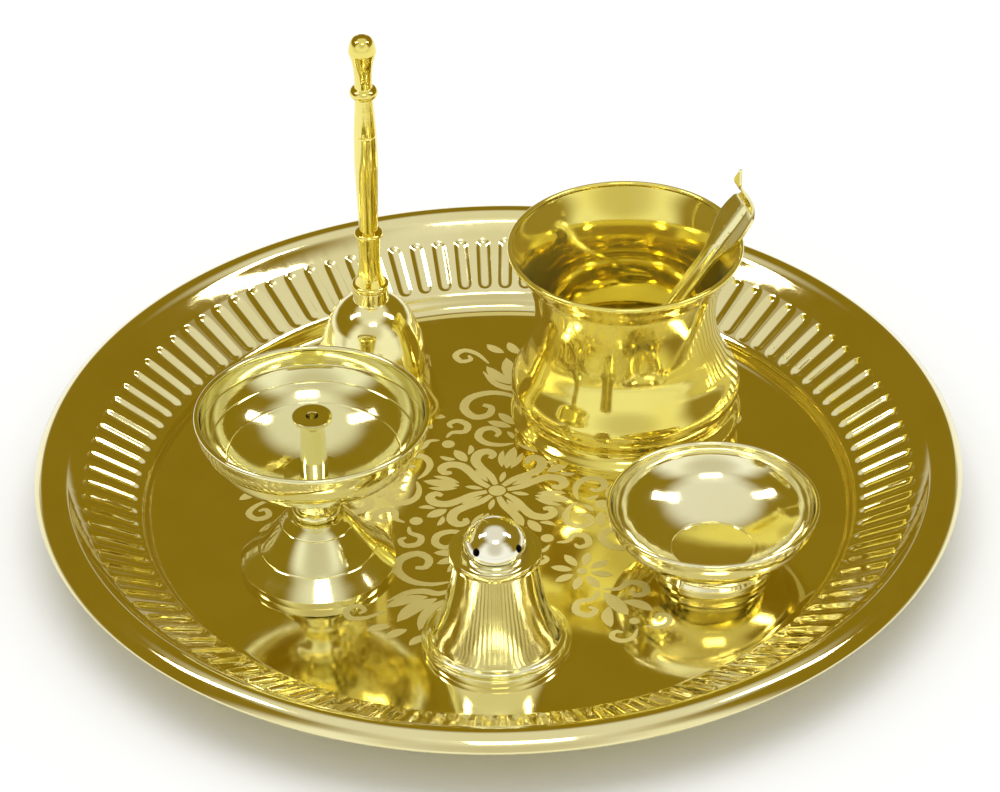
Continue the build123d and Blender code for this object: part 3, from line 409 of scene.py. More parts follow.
def brass_skin() -> bpy.types.NodeTree:
    """Builds the shared surface of polished brass: cloudy tone, handling marks and fine turning lines.

    Returns:
        A node group with colour, roughness and height that change over the surface.
    """
    group = bpy.data.node_groups.new("brass_skin", "ShaderNodeTree")
    for side, kind, names in (
        ("INPUT", "NodeSocketColor", ("Bright", "Deep")),
        ("INPUT", "NodeSocketFloat", ("Gloss", "Lines")),
        ("OUTPUT", "NodeSocketColor", ("Colour",)),
        ("OUTPUT", "NodeSocketFloat", ("Roughness", "Height")),
    ):
        for name in names:
            group.interface.new_socket(name=name, in_out=side, socket_type=kind)
    graph = Graph(group)
    given = graph.node("NodeGroupInput")
    result = graph.node("NodeGroupOutput")
    place = graph.node("ShaderNodeTexCoord").outputs["Object"]
    stretch = graph.node("ShaderNodeMapping")
    graph.feed(stretch.inputs["Scale"], TURNING_SCALE)
    graph.feed(stretch.inputs["Vector"], place)
    tone = graph.ramp(graph.noise(place, CLOUD_SCALE, 3.0), 0.35, 0.75, 0.0, 1.0)
    colour = graph.mix(tone, given.outputs["Bright"], given.outputs["Deep"])
    marks = graph.ramp(graph.noise(place, SMEAR_SCALE, 4.0), 0.45, 0.8, 0.0, MARK_ROUGHNESS)
    lines = graph.math("MULTIPLY", graph.noise(stretch.outputs[0], 1.0), given.outputs["Lines"])
    rough = graph.math("ADD", given.outputs["Gloss"], marks)
    rough = graph.math("ADD", rough, graph.math("MULTIPLY", lines, MARK_ROUGHNESS))
    graph.feed(result.inputs["Colour"], colour)
    graph.feed(result.inputs["Roughness"], rough)
    graph.feed(result.inputs["Height"], lines)
    return group


@dataclass(frozen=True)
class BrassFinish:
    """One polish of brass.

    Args:
        name: Name of the material.
        bright: Colour of the clean metal.
        deep: Colour of the cloudier metal.
        gloss: Roughness of the cleanest parts.
        lines: Strength of the turning lines.
        metal: Share of metal in the surface.
        coat: Weight of the clear lacquer.
    """

    name: str
    bright: Colour
    deep: Colour
    gloss: float
    lines: float
    metal: float = 1.0
    coat: float = 0.5

    def make(self, skin: bpy.types.NodeTree) -> bpy.types.Material:
        """Builds the material.

        Args:
            skin: The shared node group.

        Returns:
            The finished material.
        """
        material, graph = blank_material(self.name)
        surface = graph.node("ShaderNodeGroup", node_tree=skin)
        bump = graph.node("ShaderNodeBump")
        shader = graph.node("ShaderNodeBsdfPrincipled")
        for node, name, given in (
            (surface, "Bright", self.bright),
            (surface, "Deep", self.deep),
            (surface, "Gloss", self.gloss),
            (surface, "Lines", self.lines),
            (bump, "Strength", 0.03),
            (bump, "Distance", 0.4 * MM),
            (bump, "Height", surface.outputs["Height"]),
            (shader, "Metallic", self.metal),
            (shader, "Coat Weight", self.coat),
            (shader, "Coat Roughness", 0.04),
            (shader, "Base Color", surface.outputs["Colour"]),
            (shader, "Roughness", surface.outputs["Roughness"]),
            (shader, "Normal", bump.outputs["Normal"]),
        ):
            graph.feed(node.inputs[name], given)
        graph.close(shader.outputs["BSDF"])
        return material


class Finish(Enum):
    """The finishes of the set."""

    TRAY = BrassFinish("tray_brass", (0.87, 0.80, 0.44, 1), (0.83, 0.75, 0.36, 1), 0.07, 0.0)
    BELL = BrassFinish("bell_brass", (0.92, 0.86, 0.46, 1), (0.87, 0.79, 0.36, 1), 0.07, 0.5)
    LAMP = BrassFinish("lamp_brass", (0.86, 0.82, 0.46, 1), (0.82, 0.77, 0.38, 1), 0.07, 0.6)
    GRIP = BrassFinish("grip_brass", (0.91, 0.80, 0.24, 1), (0.86, 0.73, 0.16, 1), 0.08, 0.5)
    DOME = BrassFinish("dome_brass", (0.93, 0.91, 0.76, 1), (0.89, 0.86, 0.66, 1), 0.07, 0.4)
    # painted shade: a near-black matt finish laid inside the incense stick holes, standing in for the shade
    # down them
    SOOT = BrassFinish("painted_hole_shade", (0.03, 0.022, 0.012, 1), (0.018, 0.013, 0.008, 1), 0.75, 0.0, 0.0, 0.0)
    SPOON = BrassFinish("spoon_brass", (0.90, 0.85, 0.46, 1), (0.86, 0.79, 0.36, 1), 0.17, 0.6)
    INCENSE = BrassFinish("incense_brass", (0.94, 0.91, 0.62, 1), (0.90, 0.86, 0.52, 1), 0.08, 0.8)
    POT = BrassFinish("pot_brass", (0.89, 0.78, 0.19, 1), (0.85, 0.71, 0.12, 1), 0.07, 0.5, metal=0.88)
    BOWL = BrassFinish("bowl_brass", (0.92, 0.88, 0.60, 1), (0.88, 0.83, 0.49, 1), 0.07, 0.6)
    ETCHED = BrassFinish("etched_brass", (0.80, 0.70, 0.26, 1), (0.74, 0.63, 0.20, 1), 0.5, 0.0, 0.4, 0.2)


class Workshop:
    """Keeps the materials and dresses finished pieces."""

    def __init__(self, frame: dict) -> None:
        """Builds each finish once."""
        self.frame = frame
        self.skin = brass_skin()
        self.materials = {finish: finish.value.make(self.skin) for finish in Finish}

    def paint(self, piece: Piece, finish: Finish) -> None:
        """Gives a piece one finish all over."""
        piece.data.materials.clear()
        piece.data.materials.append(self.materials[finish])

    def hand_in(
        self, piece: Piece, body: str, finish: Finish, nodes: tuple[str, ...] = ()
    ) -> None:
        """Dresses a piece and fixes it to its body.

        Args:
            piece: The finished mesh.
            body: Body that it moves with.
            finish: Its finish.
            nodes: Solids that it stands for.
        """
        self.paint(piece, finish)
        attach(piece, body)
        if nodes:
            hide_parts(*nodes)
        LOG.info("%s: %d faces on %s", piece.name, len(piece.data.polygons), body)

    def keep(self, node: str, finish: Finish) -> None:
        """Dresses a solid that is shown as it is."""
        solid = self.frame["nodes"][node]
        for index in range(len(solid.material_slots)):
            solid.material_slots[index].material = self.materials[finish]
        LOG.info("%s: kept", node)


@dataclass
class FlutedTray:
    """The tray: a flat floor, a fluted slope and a rolled lip."""

    radius: float = 152.4
    height: float = 22.6
    sheet: float = 1.0
    floor_radius: float = TRAY_FLOOR_RADIUS
    step_radius: float = 117.3
    step_height: float = 5.0
    wall_radius: float = 138.4
    wall_height: float = 16.0
    crown_radius: float = 146.1
    roll: float = 6.2
    inner_lean: float = 50.0
    outer_lean: float = 60.0
    hem: float = 1.0
    hem_height: float = 18.6
    flutes: int = 108
    flute_length: float = 20.4
    flute_width: float = 4.9
    flute_depth: float = 0.9
    column_shares: tuple[float, ...] = (0.0, 0.35, 0.70, 0.92, 1.08, 1.32)
    row_shares: tuple[float, ...] = (
        *(0.05, 0.074, 0.10, 0.13, 0.17, 0.22),
        *(0.36, 0.5, 0.64),
        *(0.78, 0.83, 0.87, 0.90, 0.926, 0.95),
    )
    floor_margin: float = 3.0
    bend_margin: float = 1.2
    step_reaches: tuple[float, ...] = (0.9, 2.75, 4.6)
    under_reaches: tuple[float, ...] = (4.3, 2.4, 0.9)
    hem_turn: tuple[float, float] = (25.0, -190.0)
    hem_gap: float = 20.0

    def __post_init__(self) -> None:
        """Works out the slope's line from the sizes."""
        self.foot = Vector((self.step_radius, self.sheet + self.step_height))
        self.run = Vector((self.wall_radius, self.sheet + self.wall_height)) - self.foot
        self.slope = self.run.normalized()
        self.normal = Vector((-self.slope.y, self.slope.x))
        self.pitch = math.tau / self.flutes

    def outline(self) -> list[Knot]:
        """Returns the sheet's section outside the flat floor, as one open line."""
        upper = [self.foot + self.slope * self.run.length * share for share in self.row_shares]
        lower = [point - self.normal * self.sheet for point in upper]
        edge, bend = self.floor_radius - self.floor_margin, self.floor_radius - self.bend_margin
        rise = Vector((self.step_radius - self.floor_radius, self.step_height)).normalized()
        start = Vector((self.floor_radius, self.sheet))
        under = start + Vector((rise.y, -rise.x)) * self.sheet
        crown = (self.crown_radius, self.height - self.roll)
        hub = (self.radius - self.hem, self.hem_height)
        inner, outer = 90 + self.inner_lean, 90 - self.outer_lean
        inside = steps_between(outer + self.hem_gap, inner, 7)
        knots = smooth((edge, self.sheet), (bend, self.sheet))
        knots += smooth(*[tuple(start + rise * reach) for reach in self.step_reaches])
        knots += corner(*[tuple(point) for point in upper])
        knots += smooth(*bow_points(crown, self.roll, steps_between(inner, outer, 13)[:-1]))
        knots += smooth(*bow_points(hub, self.hem, steps_between(*self.hem_turn, 9)))
        knots += smooth(*bow_points(crown, self.roll - self.sheet, inside))
        knots += corner(*[tuple(point) for point in reversed(lower)])
        knots += smooth(*[tuple(under + rise * reach) for reach in self.under_reaches])
        knots += smooth((bend, 0.0), (edge, 0.0))
        return knots

    def dent(self, reach: float, aside: float) -> float:
        """Returns how deep a flute is at a place along and across it."""
        bow = (self.flute_width**2 / 4 + self.flute_depth**2) / (2 * self.flute_depth)
        past = max(0.0, abs(reach) - (self.flute_length - self.flute_width) / 2)
        gap = past * past + aside * aside
        return max(0.0, math.sqrt(max(0.0, bow * bow - gap)) - bow + self.flute_depth)

    def build(self) -> Piece:
        """Models one pitch of the wall with half a flute on each side and copies it round.

        Returns:
            The finished tray.
        """
        place = Place(0.0, 0.0, 0.0)
        piece = outline_mesh("fluted_tray", place, self.outline(), False, fineness=1)
        count = 2 * len(self.column_shares)
        with editing(piece):
            spun_copies(place.centre(), -self.pitch, count, WELD)
        self.press(piece, count)
        with editing(piece):
            spun_copies(place.centre(), self.pitch - math.tau, self.flutes - 1, FLUTE_WELD, dupli=True)
            bpy.ops.mesh.normals_make_consistent(inside=False)
            bpy.ops.mesh.select_all(action="DESELECT")
        self.close_floor(piece)
        bpy.ops.object.shade_smooth_by_angle(angle=FIRM_CREASE)
        return piece

    def press(self, piece: Piece, count: int) -> None:
        """Moves the wall's points down where a flute is pressed, with finer columns at its edges.

        Args:
            piece: One pitch of the wall.
            count: Number of columns in the pitch.
        """
        half = self.flute_width / 2
        middle = self.foot + self.run * 0.5
        spots = [*(half * share for share in self.column_shares), middle.x * self.pitch / 2]
        for vertex in piece.data.vertices:
            reach = math.hypot(vertex.co.x, vertex.co.y) / MM
            turn = math.atan2(vertex.co.y, vertex.co.x) / self.pitch
            column = round(turn * count)
            index = column - count // 2
            aside = math.copysign(spots[abs(index)], index)
            angle = self.pitch / 2 + aside / middle.x
            spot = Vector((reach, vertex.co.z / MM))
            offset = spot - middle
            level, along = offset.dot(self.normal), offset.dot(self.slope)
            if -1.3 * self.sheet < level < 0.3 * self.sheet and abs(along) < self.run.length / 2:
                spot -= self.normal * self.dent(along, abs(aside) * reach / middle.x)
            vertex.co = Vector((spot.x * math.cos(angle), spot.x * math.sin(angle), spot.y)) * MM

    def close_floor(self, piece: Piece) -> None:
        """Fills the open rings of the floor's upper and lower face."""
        rim = (self.floor_radius - (self.floor_margin + self.bend_margin) / 2) * MM
        for height in (self.sheet * MM, 0.0):
            pick(piece)
            for edge in piece.data.edges:
                ends = [piece.data.vertices[i].co for i in edge.vertices]
                edge.select = all(math.hypot(c.x, c.y) < rim and abs(c.z - height) < 1e-6 for c in ends)
            bpy.ops.object.mode_set(mode="EDIT")
            bpy.ops.mesh.select_mode(type="EDGE")
            bpy.ops.mesh.edge_face_add()
            bpy.ops.mesh.select_mode(type="VERT")
            bpy.ops.object.mode_set(mode="OBJECT")

    def make(self, shop: Workshop) -> None:
        """Builds and hands in the tray."""
        shop.hand_in(self.build(), "tray", Finish.TRAY, ("thali_plate",))


@dataclass
class FloorOrnament:
    """The etched flower ornament on the tray's floor: four alike quarters of leaves, scrolls and dots.

    Places are given to the right of and along the axis of a quarter.
    """

    centre: Spot = (-0.5, 7.0)
    turn: float = 14.0
    heart: float = 2.9
    lift: float = 0.012
    sheet: float = 0.02
    layers: int = 9
    layer_step: float = 0.004
    grain: int = 3

    def __post_init__(self) -> None:
        """Starts the count of laid pieces."""
        self.laid = 0

    def next_level(self) -> float:
        """Returns the level of the next piece, so that no two neighbours lie in one plane."""
        self.laid += 1
        return (self.laid % self.layers) * self.layer_step * MM

    def ribbon(self, points: Path, width: float, start: float = 0.25, stop: float = 0.35) -> Piece:
        """Lays a flat ribbon along a path.

        Args:
            points: Points of the path.
            width: Greatest width.
            start: Share of the width at the first point.
            stop: Share of the width at the last point.

        Returns:
            The ribbon's mesh object.
        """
        line = [Vector(point) for point in fine_line(points, self.grain)]
        last = len(line) - 1
        level = self.next_level()
        bpy.ops.mesh.primitive_grid_add(x_subdivisions=last, y_subdivisions=1, size=MM)
        piece = bpy.context.object
        for index, spot in enumerate(line):
            ahead = (line[min(index + 1, last)] - line[max(index - 1, 0)]).normalized()
            side = Vector((-ahead.y, ahead.x))
            share = index / last
            swell = math.sin(math.pi * share) ** 0.7
            ends = start * (1 - share) + stop * share
            half = width / 2 * (ends + (1 - ends) * swell)
            for row, way in ((0, -half), (1, half)):
                put = spot + side * way
                piece.data.vertices[index + row * (last + 1)].co = (put.x * MM, put.y * MM, level)
        return piece

    def leaf(self, base: Spot, tip: Spot, width: float, bow: float = 0.0) -> Piece:
        """Lays a pointed leaf that bows to its right by a given amount."""
        low, high = Vector(base), Vector(tip)
        ahead = (high - low).normalized()
        middle = (low + high) / 2 + Vector((ahead.y, -ahead.x)) * bow
        return self.ribbon([base, tuple(middle), tip], width, 0.12, 0.0)

    def dot(self, place: Spot, radius: float) -> Piece:
        """Lays a round dot."""
        bpy.ops.mesh.primitive_circle_add(vertices=24, radius=radius * MM, fill_type="NGON")
        piece = bpy.context.object
        level = self.next_level()
        for vertex in piece.data.vertices:
            vertex.co += Vector((place[0] * MM, place[1] * MM, level))
        return piece

    def petals(self, heart: Spot, turns: tuple[float, ...], reach: Spot, width: float) -> list[Piece]:
        """Lays leaves that spread from one point.

        Args:
            heart: The point.
            turns: Direction of each leaf, in degrees to the right of the axis.
            reach: Distances of the leaves' two ends from the point.
            width: Width of a leaf.

        Returns:
            The leaves.
        """
        ways = [(math.sin(math.radians(turn)), math.cos(math.radians(turn))) for turn in turns]
        ends = [[(heart[0] + r * x, heart[1] + r * y) for r in reach] for x, y in ways]
        return [self.leaf(low, high, width) for low, high in ends]

    def main_axis(self) -> list[Piece]:
        """Returns what stands on the axis of a quarter."""
        return [
            self.leaf((0, 5.0), (0, 11.0), 2.0),
            self.leaf((0, 13.0), (0, 25.4), 4.0),
            self.dot((0, 35.7), 2.4),
            self.leaf((0, 39.6), (0, 49.0), 3.8),
            self.dot((0, 52.8), 1.7),
            self.leaf((0, 57), (0, 73), 5.6),
            self.leaf((0, 75.4), (0, 88), 5.4),
        ]

    def main_side(self) -> list[Piece]:
        """Returns what stands beside the axis of a quarter, on its right."""
        petal = [(1.3, 3.2), (4.0, 7.4), (8.2, 11.2), (11.0, 14.8)]
        petal += [(10.9, 19.0), (8.3, 21.0), (6.0, 19.5), (6.7, 17.2)]
        vine = [(0.8, 27.4), (4.6, 25.6), (9.6, 25.4), (13.3, 28.3)]
        vine += [(13.1, 32.6), (9.8, 34.4), (7.1, 32.4), (7.6, 29.8)]
        scroll = [(3.4, 52), (9, 54.6), (15.6, 54.4), (21.4, 50), (22, 43.6)]
        scroll += [(17.4, 39.4), (13, 41.6), (13, 46), (16.2, 47)]
        calyx = [(1.6, 55.6), (5.4, 58.8), (10.4, 58.6), (15.6, 60.6), (20.8, 66.4)]
        curl = [(20.0, 71.4), (25, 76), (30, 77.4), (32.4, 73.8), (29.6, 70.6), (26.6, 72.4), (28, 74.6)]
        return [
            self.ribbon(petal, 3.5, 0.5, 0.45),
            self.leaf((1.5, 13.4), (3.4, 22.8), 2.2, 0.5),
            self.ribbon(vine, 2.7, 0.2, 0.5),
            self.leaf((1.6, 30.0), (4.6, 33.6), 1.9, -0.4),
            *self.petals((0, 35.7), (26, 52, 80), (4.0, 12.6), 3.4),
            self.ribbon(scroll, 3.2, 0.2, 0.5),
            self.ribbon(calyx, 2.9, 0.3, 0.1),
            self.leaf((2.8, 61.6), (7.0, 79.0), 5.2, 1.2),
            self.leaf((5.4, 61.6), (15.0, 76.2), 5.4, 1.6),
            self.leaf((8.6, 61.2), (20.4, 69.6), 4.4, 1.2),
            self.leaf((3.4, 80.8), (8.2, 87.2), 3.2, 0.6),
            self.leaf((10.8, 79.4), (16.4, 85.4), 3.6, 0.6),
            self.leaf((16.4, 78.8), (23.4, 82.6), 3.4, 0.5),
            self.ribbon(curl, 2.4),
        ]

    def between_axis(self) -> list[Piece]:
        """Returns what stands on the line half-way between two quarters."""
        return [
            self.leaf((0, 6.0), (0, 14.0), 2.0),
            self.leaf((0, 19.6), (0, 27.4), 3.8),
            self.dot((0, 31.4), 2.2),
            self.dot((0, 52.6), 1.7),
            *self.petals((0, 52.6), (0, 180), (3.2, 10.6), 3.2),
            self.leaf((0, 66.4), (0, 80.4), 5.2),
            self.dot((0, 84.0), 1.7),
        ]

    def between_side(self) -> list[Piece]:
        """Returns what stands beside that line, on its right."""
        vine = [(1.4, 35), (4.6, 36.4), (8.4, 34.6), (11.2, 37.4), (9.6, 41.4), (6.2, 41.2), (6.0, 38.8)]
        scroll = [(1.0, 64.6), (5, 67), (9.8, 66), (13, 69.6), (11, 73.6), (7.4, 72.6), (8.2, 69.8)]
        curl = [(1.4, 88), (5, 91), (9, 90.6), (10.6, 87.2), (8.2, 85.4), (6.2, 87)]
        return [
            self.ribbon(vine, 2.5),
            self.leaf((2.6, 22.6), (6.0, 27.0), 2.0, 0.6),
            *self.petals((0, 52.6), (45, 90, 135), (3.2, 10.4), 3.2),
            self.ribbon(scroll, 2.7),
            self.leaf((2.8, 73.4), (8.0, 82.8), 4.0, 1.0),
            self.ribbon(curl, 2.1),
        ]

    def with_mirror(self, side: list[Piece], axis: list[Piece], turn: float) -> Piece:
        """Mirrors the side pieces, adds the axis pieces and turns them all about the middle.

        Args:
            side: Pieces on the right of the axis.
            axis: Pieces on the axis.
            turn: Turn to the left, in degrees.

        Returns:
            One mesh object.
        """
        half = joined(side)
        mirror = half.modifiers.new("other_half", "MIRROR")
        mirror.use_axis = (True, False, False)
        mirror.use_mirror_merge = False
        bpy.ops.object.modifier_apply(modifier=mirror.name)
        whole = joined([half, *axis])
        with editing(whole):
            bpy.ops.transform.rotate(
                value=math.radians(turn), orient_axis="Z", orient_type="GLOBAL", center_override=(0, 0, 0)
            )
        return whole

    def build(self) -> Piece:
        """Lays one quarter, copies it round and gives the sheet its thickness.

        Returns:
            The finished ornament.
        """
        clear_selection()
        main = self.with_mirror(self.main_side(), self.main_axis(), self.turn)
        between = self.with_mirror(self.between_side(), self.between_axis(), self.turn + 45)
        piece = joined([main, between])
        piece.name = "floor_ornament"
        with editing(piece):
            bpy.ops.mesh.spin(steps=3, dupli=True, angle=1.5 * math.pi, center=(0, 0, 0), axis=UP)
        clear_selection()
        piece = joined([piece, self.dot((0, 0), self.heart)])
        shift = Vector((*self.centre, TRAY_FLOOR + self.lift)) * MM
        for vertex in piece.data.vertices:
            vertex.co += shift
        thicken(piece, self.sheet)
        return piece

    def make(self, shop: Workshop) -> None:
        """Builds and hands in the ornament."""
        shop.hand_in(self.build(), "tray", Finish.ETCHED)


@dataclass
class HandBell:
    """The bell: a flaring dome, a waisted ferrule and a turned grip."""

    place: Place = Place.on_floor(125.134, 0.6316 * TRAY_FLOOR_RADIUS)
    lip: float = 23.9
    wall: float = 1.6
    crown: float = 15.4
    crown_height: float = 28.5
    crown_lean: float = 19.6
    boss: float = 5.9
    boss_top: float = 47.4
    stud: float = 1.95
    flange: float = 4.2
    ferrule_top: float = 69.8
    stud_top: float = 58.0
    tenon: float = 8.0
    seam: float = 108.0
    skirt_shares: tuple[Spot, ...] = ((0.69, 0.27), (0.40, 0.67))
    ferrule_waist: tuple[Spot, ...] = ((4.3, 52.6), (3.6, 58.8), (3.7, 64.6))
    swell: tuple[Spot, ...] = (
        *((3.45, 80.0), (3.9, 92.0), (4.0, 99.0)),
        *((3.72, 110.0), (3.2, 118.0), (2.95, 121.9)),
    )
    ring: tuple[Spot, ...] = ((4.2, 122.7), (4.7, 124.0), (4.2, 125.3))

    def side(self, crown: float, lip: float, inner: float) -> Path:
        """Returns the dome's points from the lip over the skirt and crown up to an inner radius."""
        last = math.degrees(math.acos(inner / crown))
        cap = bow_points((0.0, self.crown_height), crown, steps_between(self.crown_lean, last, 6))
        reach, height = cap[0]
        skirt = [(reach + out * (lip - reach), up * height) for out, up in self.skirt_shares]
        return [(lip, 0.0), *skirt, *cap]

    def dome(self) -> Piece:
        """Turns the bell's dome."""
        outer = self.side(self.crown, self.lip, self.boss)
        inner = self.side(self.crown - self.wall, self.lip - self.wall, self.flange)
        knots = [*corner(outer[0]), *smooth(*outer[1:-1]), *corner(outer[-1])]
        knots += corner((self.boss, self.boss_top), (self.stud, self.boss_top))
        knots += corner((self.stud, inner[-1][1]), inner[-1])
        knots += [*smooth(*reversed(inner[1:-1])), *corner(inner[0])]
        return turned("bell_dome_turned", self.place, knots, True)

    def ferrule(self) -> Piece:
        """Turns the ferrule, hollow at both ends."""
        knots = corner((0, self.stud_top), (self.stud, self.stud_top), (self.stud, self.boss_top))
        knots += arc(5.2, self.boss_top + 1.1, 1.1, -90, 90)
        knots += smooth(*self.ferrule_waist)
        knots += arc(3.9, self.ferrule_top - 0.9, 0.9, -90, 90)
        low = self.ferrule_top - self.tenon
        knots += corner((self.stud, self.ferrule_top), (self.stud, low), (0, low))
        return turned("bell_ferrule_turned", self.place, knots, False, steps=96)

    def grip(self) -> Piece:
        """Turns the grip with its tenon."""
        low = self.ferrule_top - self.tenon
        foot = (3.1, self.ferrule_top)
        knots = corner((0, low), (1.9, low), (1.9, self.ferrule_top), foot)
        knots += incised(fine_line([foot, *self.swell], 5), (self.seam,))
        knots += corner(self.swell[-1])
        knots += smooth(*self.ring)
        knots += corner((2.95, 126.1))
        knots += smooth((3.0, 130.0), (3.5, 135.0))
        knots += corner((4.65, 139.5))
        knots += smooth((4.3, 141.8), (3.2, 144.2))
        knots += corner((1.5, 145.2), (0, 145.2))
        return turned("bell_grip_turned", self.place, knots, False, steps=96)

    def make(self, shop: Workshop) -> None:
        """Builds and hands in the bell's pieces."""
        for piece, node, finish in (
            (self.dome(), "bell_dome", Finish.BELL),
            (self.ferrule(), "bell_ferrule", Finish.GRIP),
            (self.grip(), "bell_grip", Finish.GRIP),
        ):
            shop.hand_in(piece, "bell", finish, (node,))
        for node in ("bell_stud", "clapper_link", "clapper"):
            shop.keep(node, Finish.BELL)


@dataclass
class OilLamp:
    """The lamp: a flared foot, a beaded collar, a round bowl and a wick post."""

    place: Place = Place.on_floor(207.715, 0.5815 * TRAY_FLOOR_RADIUS)
    hole: float = 2.55
    foot: float = 25.3
    foot_edge: float = 2.6
    foot_wall: float = 1.5
    foot_top: float = 20.5
    foot_top_radius: float = 9.2
    plate: float = 2.0
    seat: float = 35.0
    bowl: float = 37.7
    depth: float = 25.3
    wall: float = 1.3
    floor: float = 1.5
    mouth: float = 59.6
    bead: float = 0.9
    post_top: float = 59.0
    foot_rings: tuple[float, ...] = (7.9, 17.6)
    bowl_rings: tuple[float, ...] = (54.35, 49.25, 44.0)
    bowl_levels: tuple[float, ...] = (35.0, 35.8, 37.2, 39.5, 43.0, 47.0, 51.0, 55.0)
    flare_shares: tuple[Spot, ...] = ((0.57, 0.36), (0.17, 0.83))
    collar_waist: tuple[Spot, ...] = ((5.85, 26.5), (5.8, 29.4), (6.6, 32.6))

    def flare(self, low: Spot, high: Spot) -> Path:
        """Returns the points between a low outer end and a high inner end of the foot's flare."""
        wide, tall = low[0] - high[0], high[1] - low[1]
        return [(high[0] + out * wide, low[1] + up * tall) for out, up in self.flare_shares]

    def base(self) -> Piece:
        """Turns the hollow foot."""
        outer = ((self.foot, self.foot_edge), (self.foot_top_radius, self.foot_top))
        inner = (
            (self.foot - self.foot_wall, self.foot_edge - self.foot_wall),
            (self.foot_top_radius - self.foot_wall, self.foot_top - self.plate),
        )
        line = fine_line([outer[0], *self.flare(*outer), outer[1]], 8)
        knots = [*corner((self.foot, 0), outer[0]), *incised(line, self.foot_rings), *corner(outer[1])]
        knots += corner((self.hole, self.foot_top), (self.hole, inner[1][1]), inner[1])
        knots += [*smooth(*reversed(self.flare(*inner))), *corner(inner[0], (inner[0][0], 0))]
        return turned("lamp_foot_turned", self.place, knots, True)

    def collar(self) -> Piece:
        """Turns the collar."""
        knots = corner((self.hole, self.foot_top))
        knots += arc(6.3, self.foot_top + 1.7, 1.7, -90, 90)
        knots += smooth(*self.collar_waist)
        knots += corner((8.4, self.seat), (self.hole, self.seat))
        return turned("lamp_collar_turned", self.place, knots, True, steps=128)

    def oil_bowl(self) -> Piece:
        """Turns the bowl with its rim bead."""
        low = self.seat + self.floor
        edge = self.mouth - 0.7 * self.bead
        levels = [edge, *steps_between(57.7, 38.2, 24), 37.4, 36.9, low]
        outer = dish(self.bowl, self.depth, self.mouth, [*self.bowl_levels])
        inner = dish(self.bowl - self.wall, self.depth - self.wall, self.mouth, levels)
        knots = corner((self.hole, self.seat), outer[0])
        knots += smooth(*outer[1:])
        knots += arc(self.bowl - self.wall / 2, self.mouth, self.bead, -45, 225, 11)
        knots += incised(inner, self.bowl_rings)
        knots += corner(inner[-1], (self.hole, low))
        return turned("lamp_bowl_turned", self.place, knots, True, steps=160)

    def post(self) -> Piece:
        """Turns the wick post with its hole and its stud."""
        low = self.seat + self.floor
        knots = corner((0, 14.5), (2.5, 14.5), (2.5, low), (4.7, low), (4.0, 54.0))
        knots += smooth((4.35, 55.6), (5.2, 56.8))
        knots += corner((6.4, 57.6), (6.4, self.post_top), (2.0, self.post_top), (2.0, 45.0), (0, 45.0))
        return turned("wick_post_turned", self.place, knots, False, steps=96)

    def make(self, shop: Workshop) -> None:
        """Builds and hands in the lamp's pieces."""
        for piece, node in (
            (self.base(), "lamp_base"),
            (self.collar(), "lamp_collar"),
            (self.oil_bowl(), "lamp_bowl"),
            (self.post(), "wick_post"),
        ):
            shop.hand_in(piece, "lamp", Finish.LAMP, (node,))
        shop.keep("lamp_nut", Finish.LAMP)


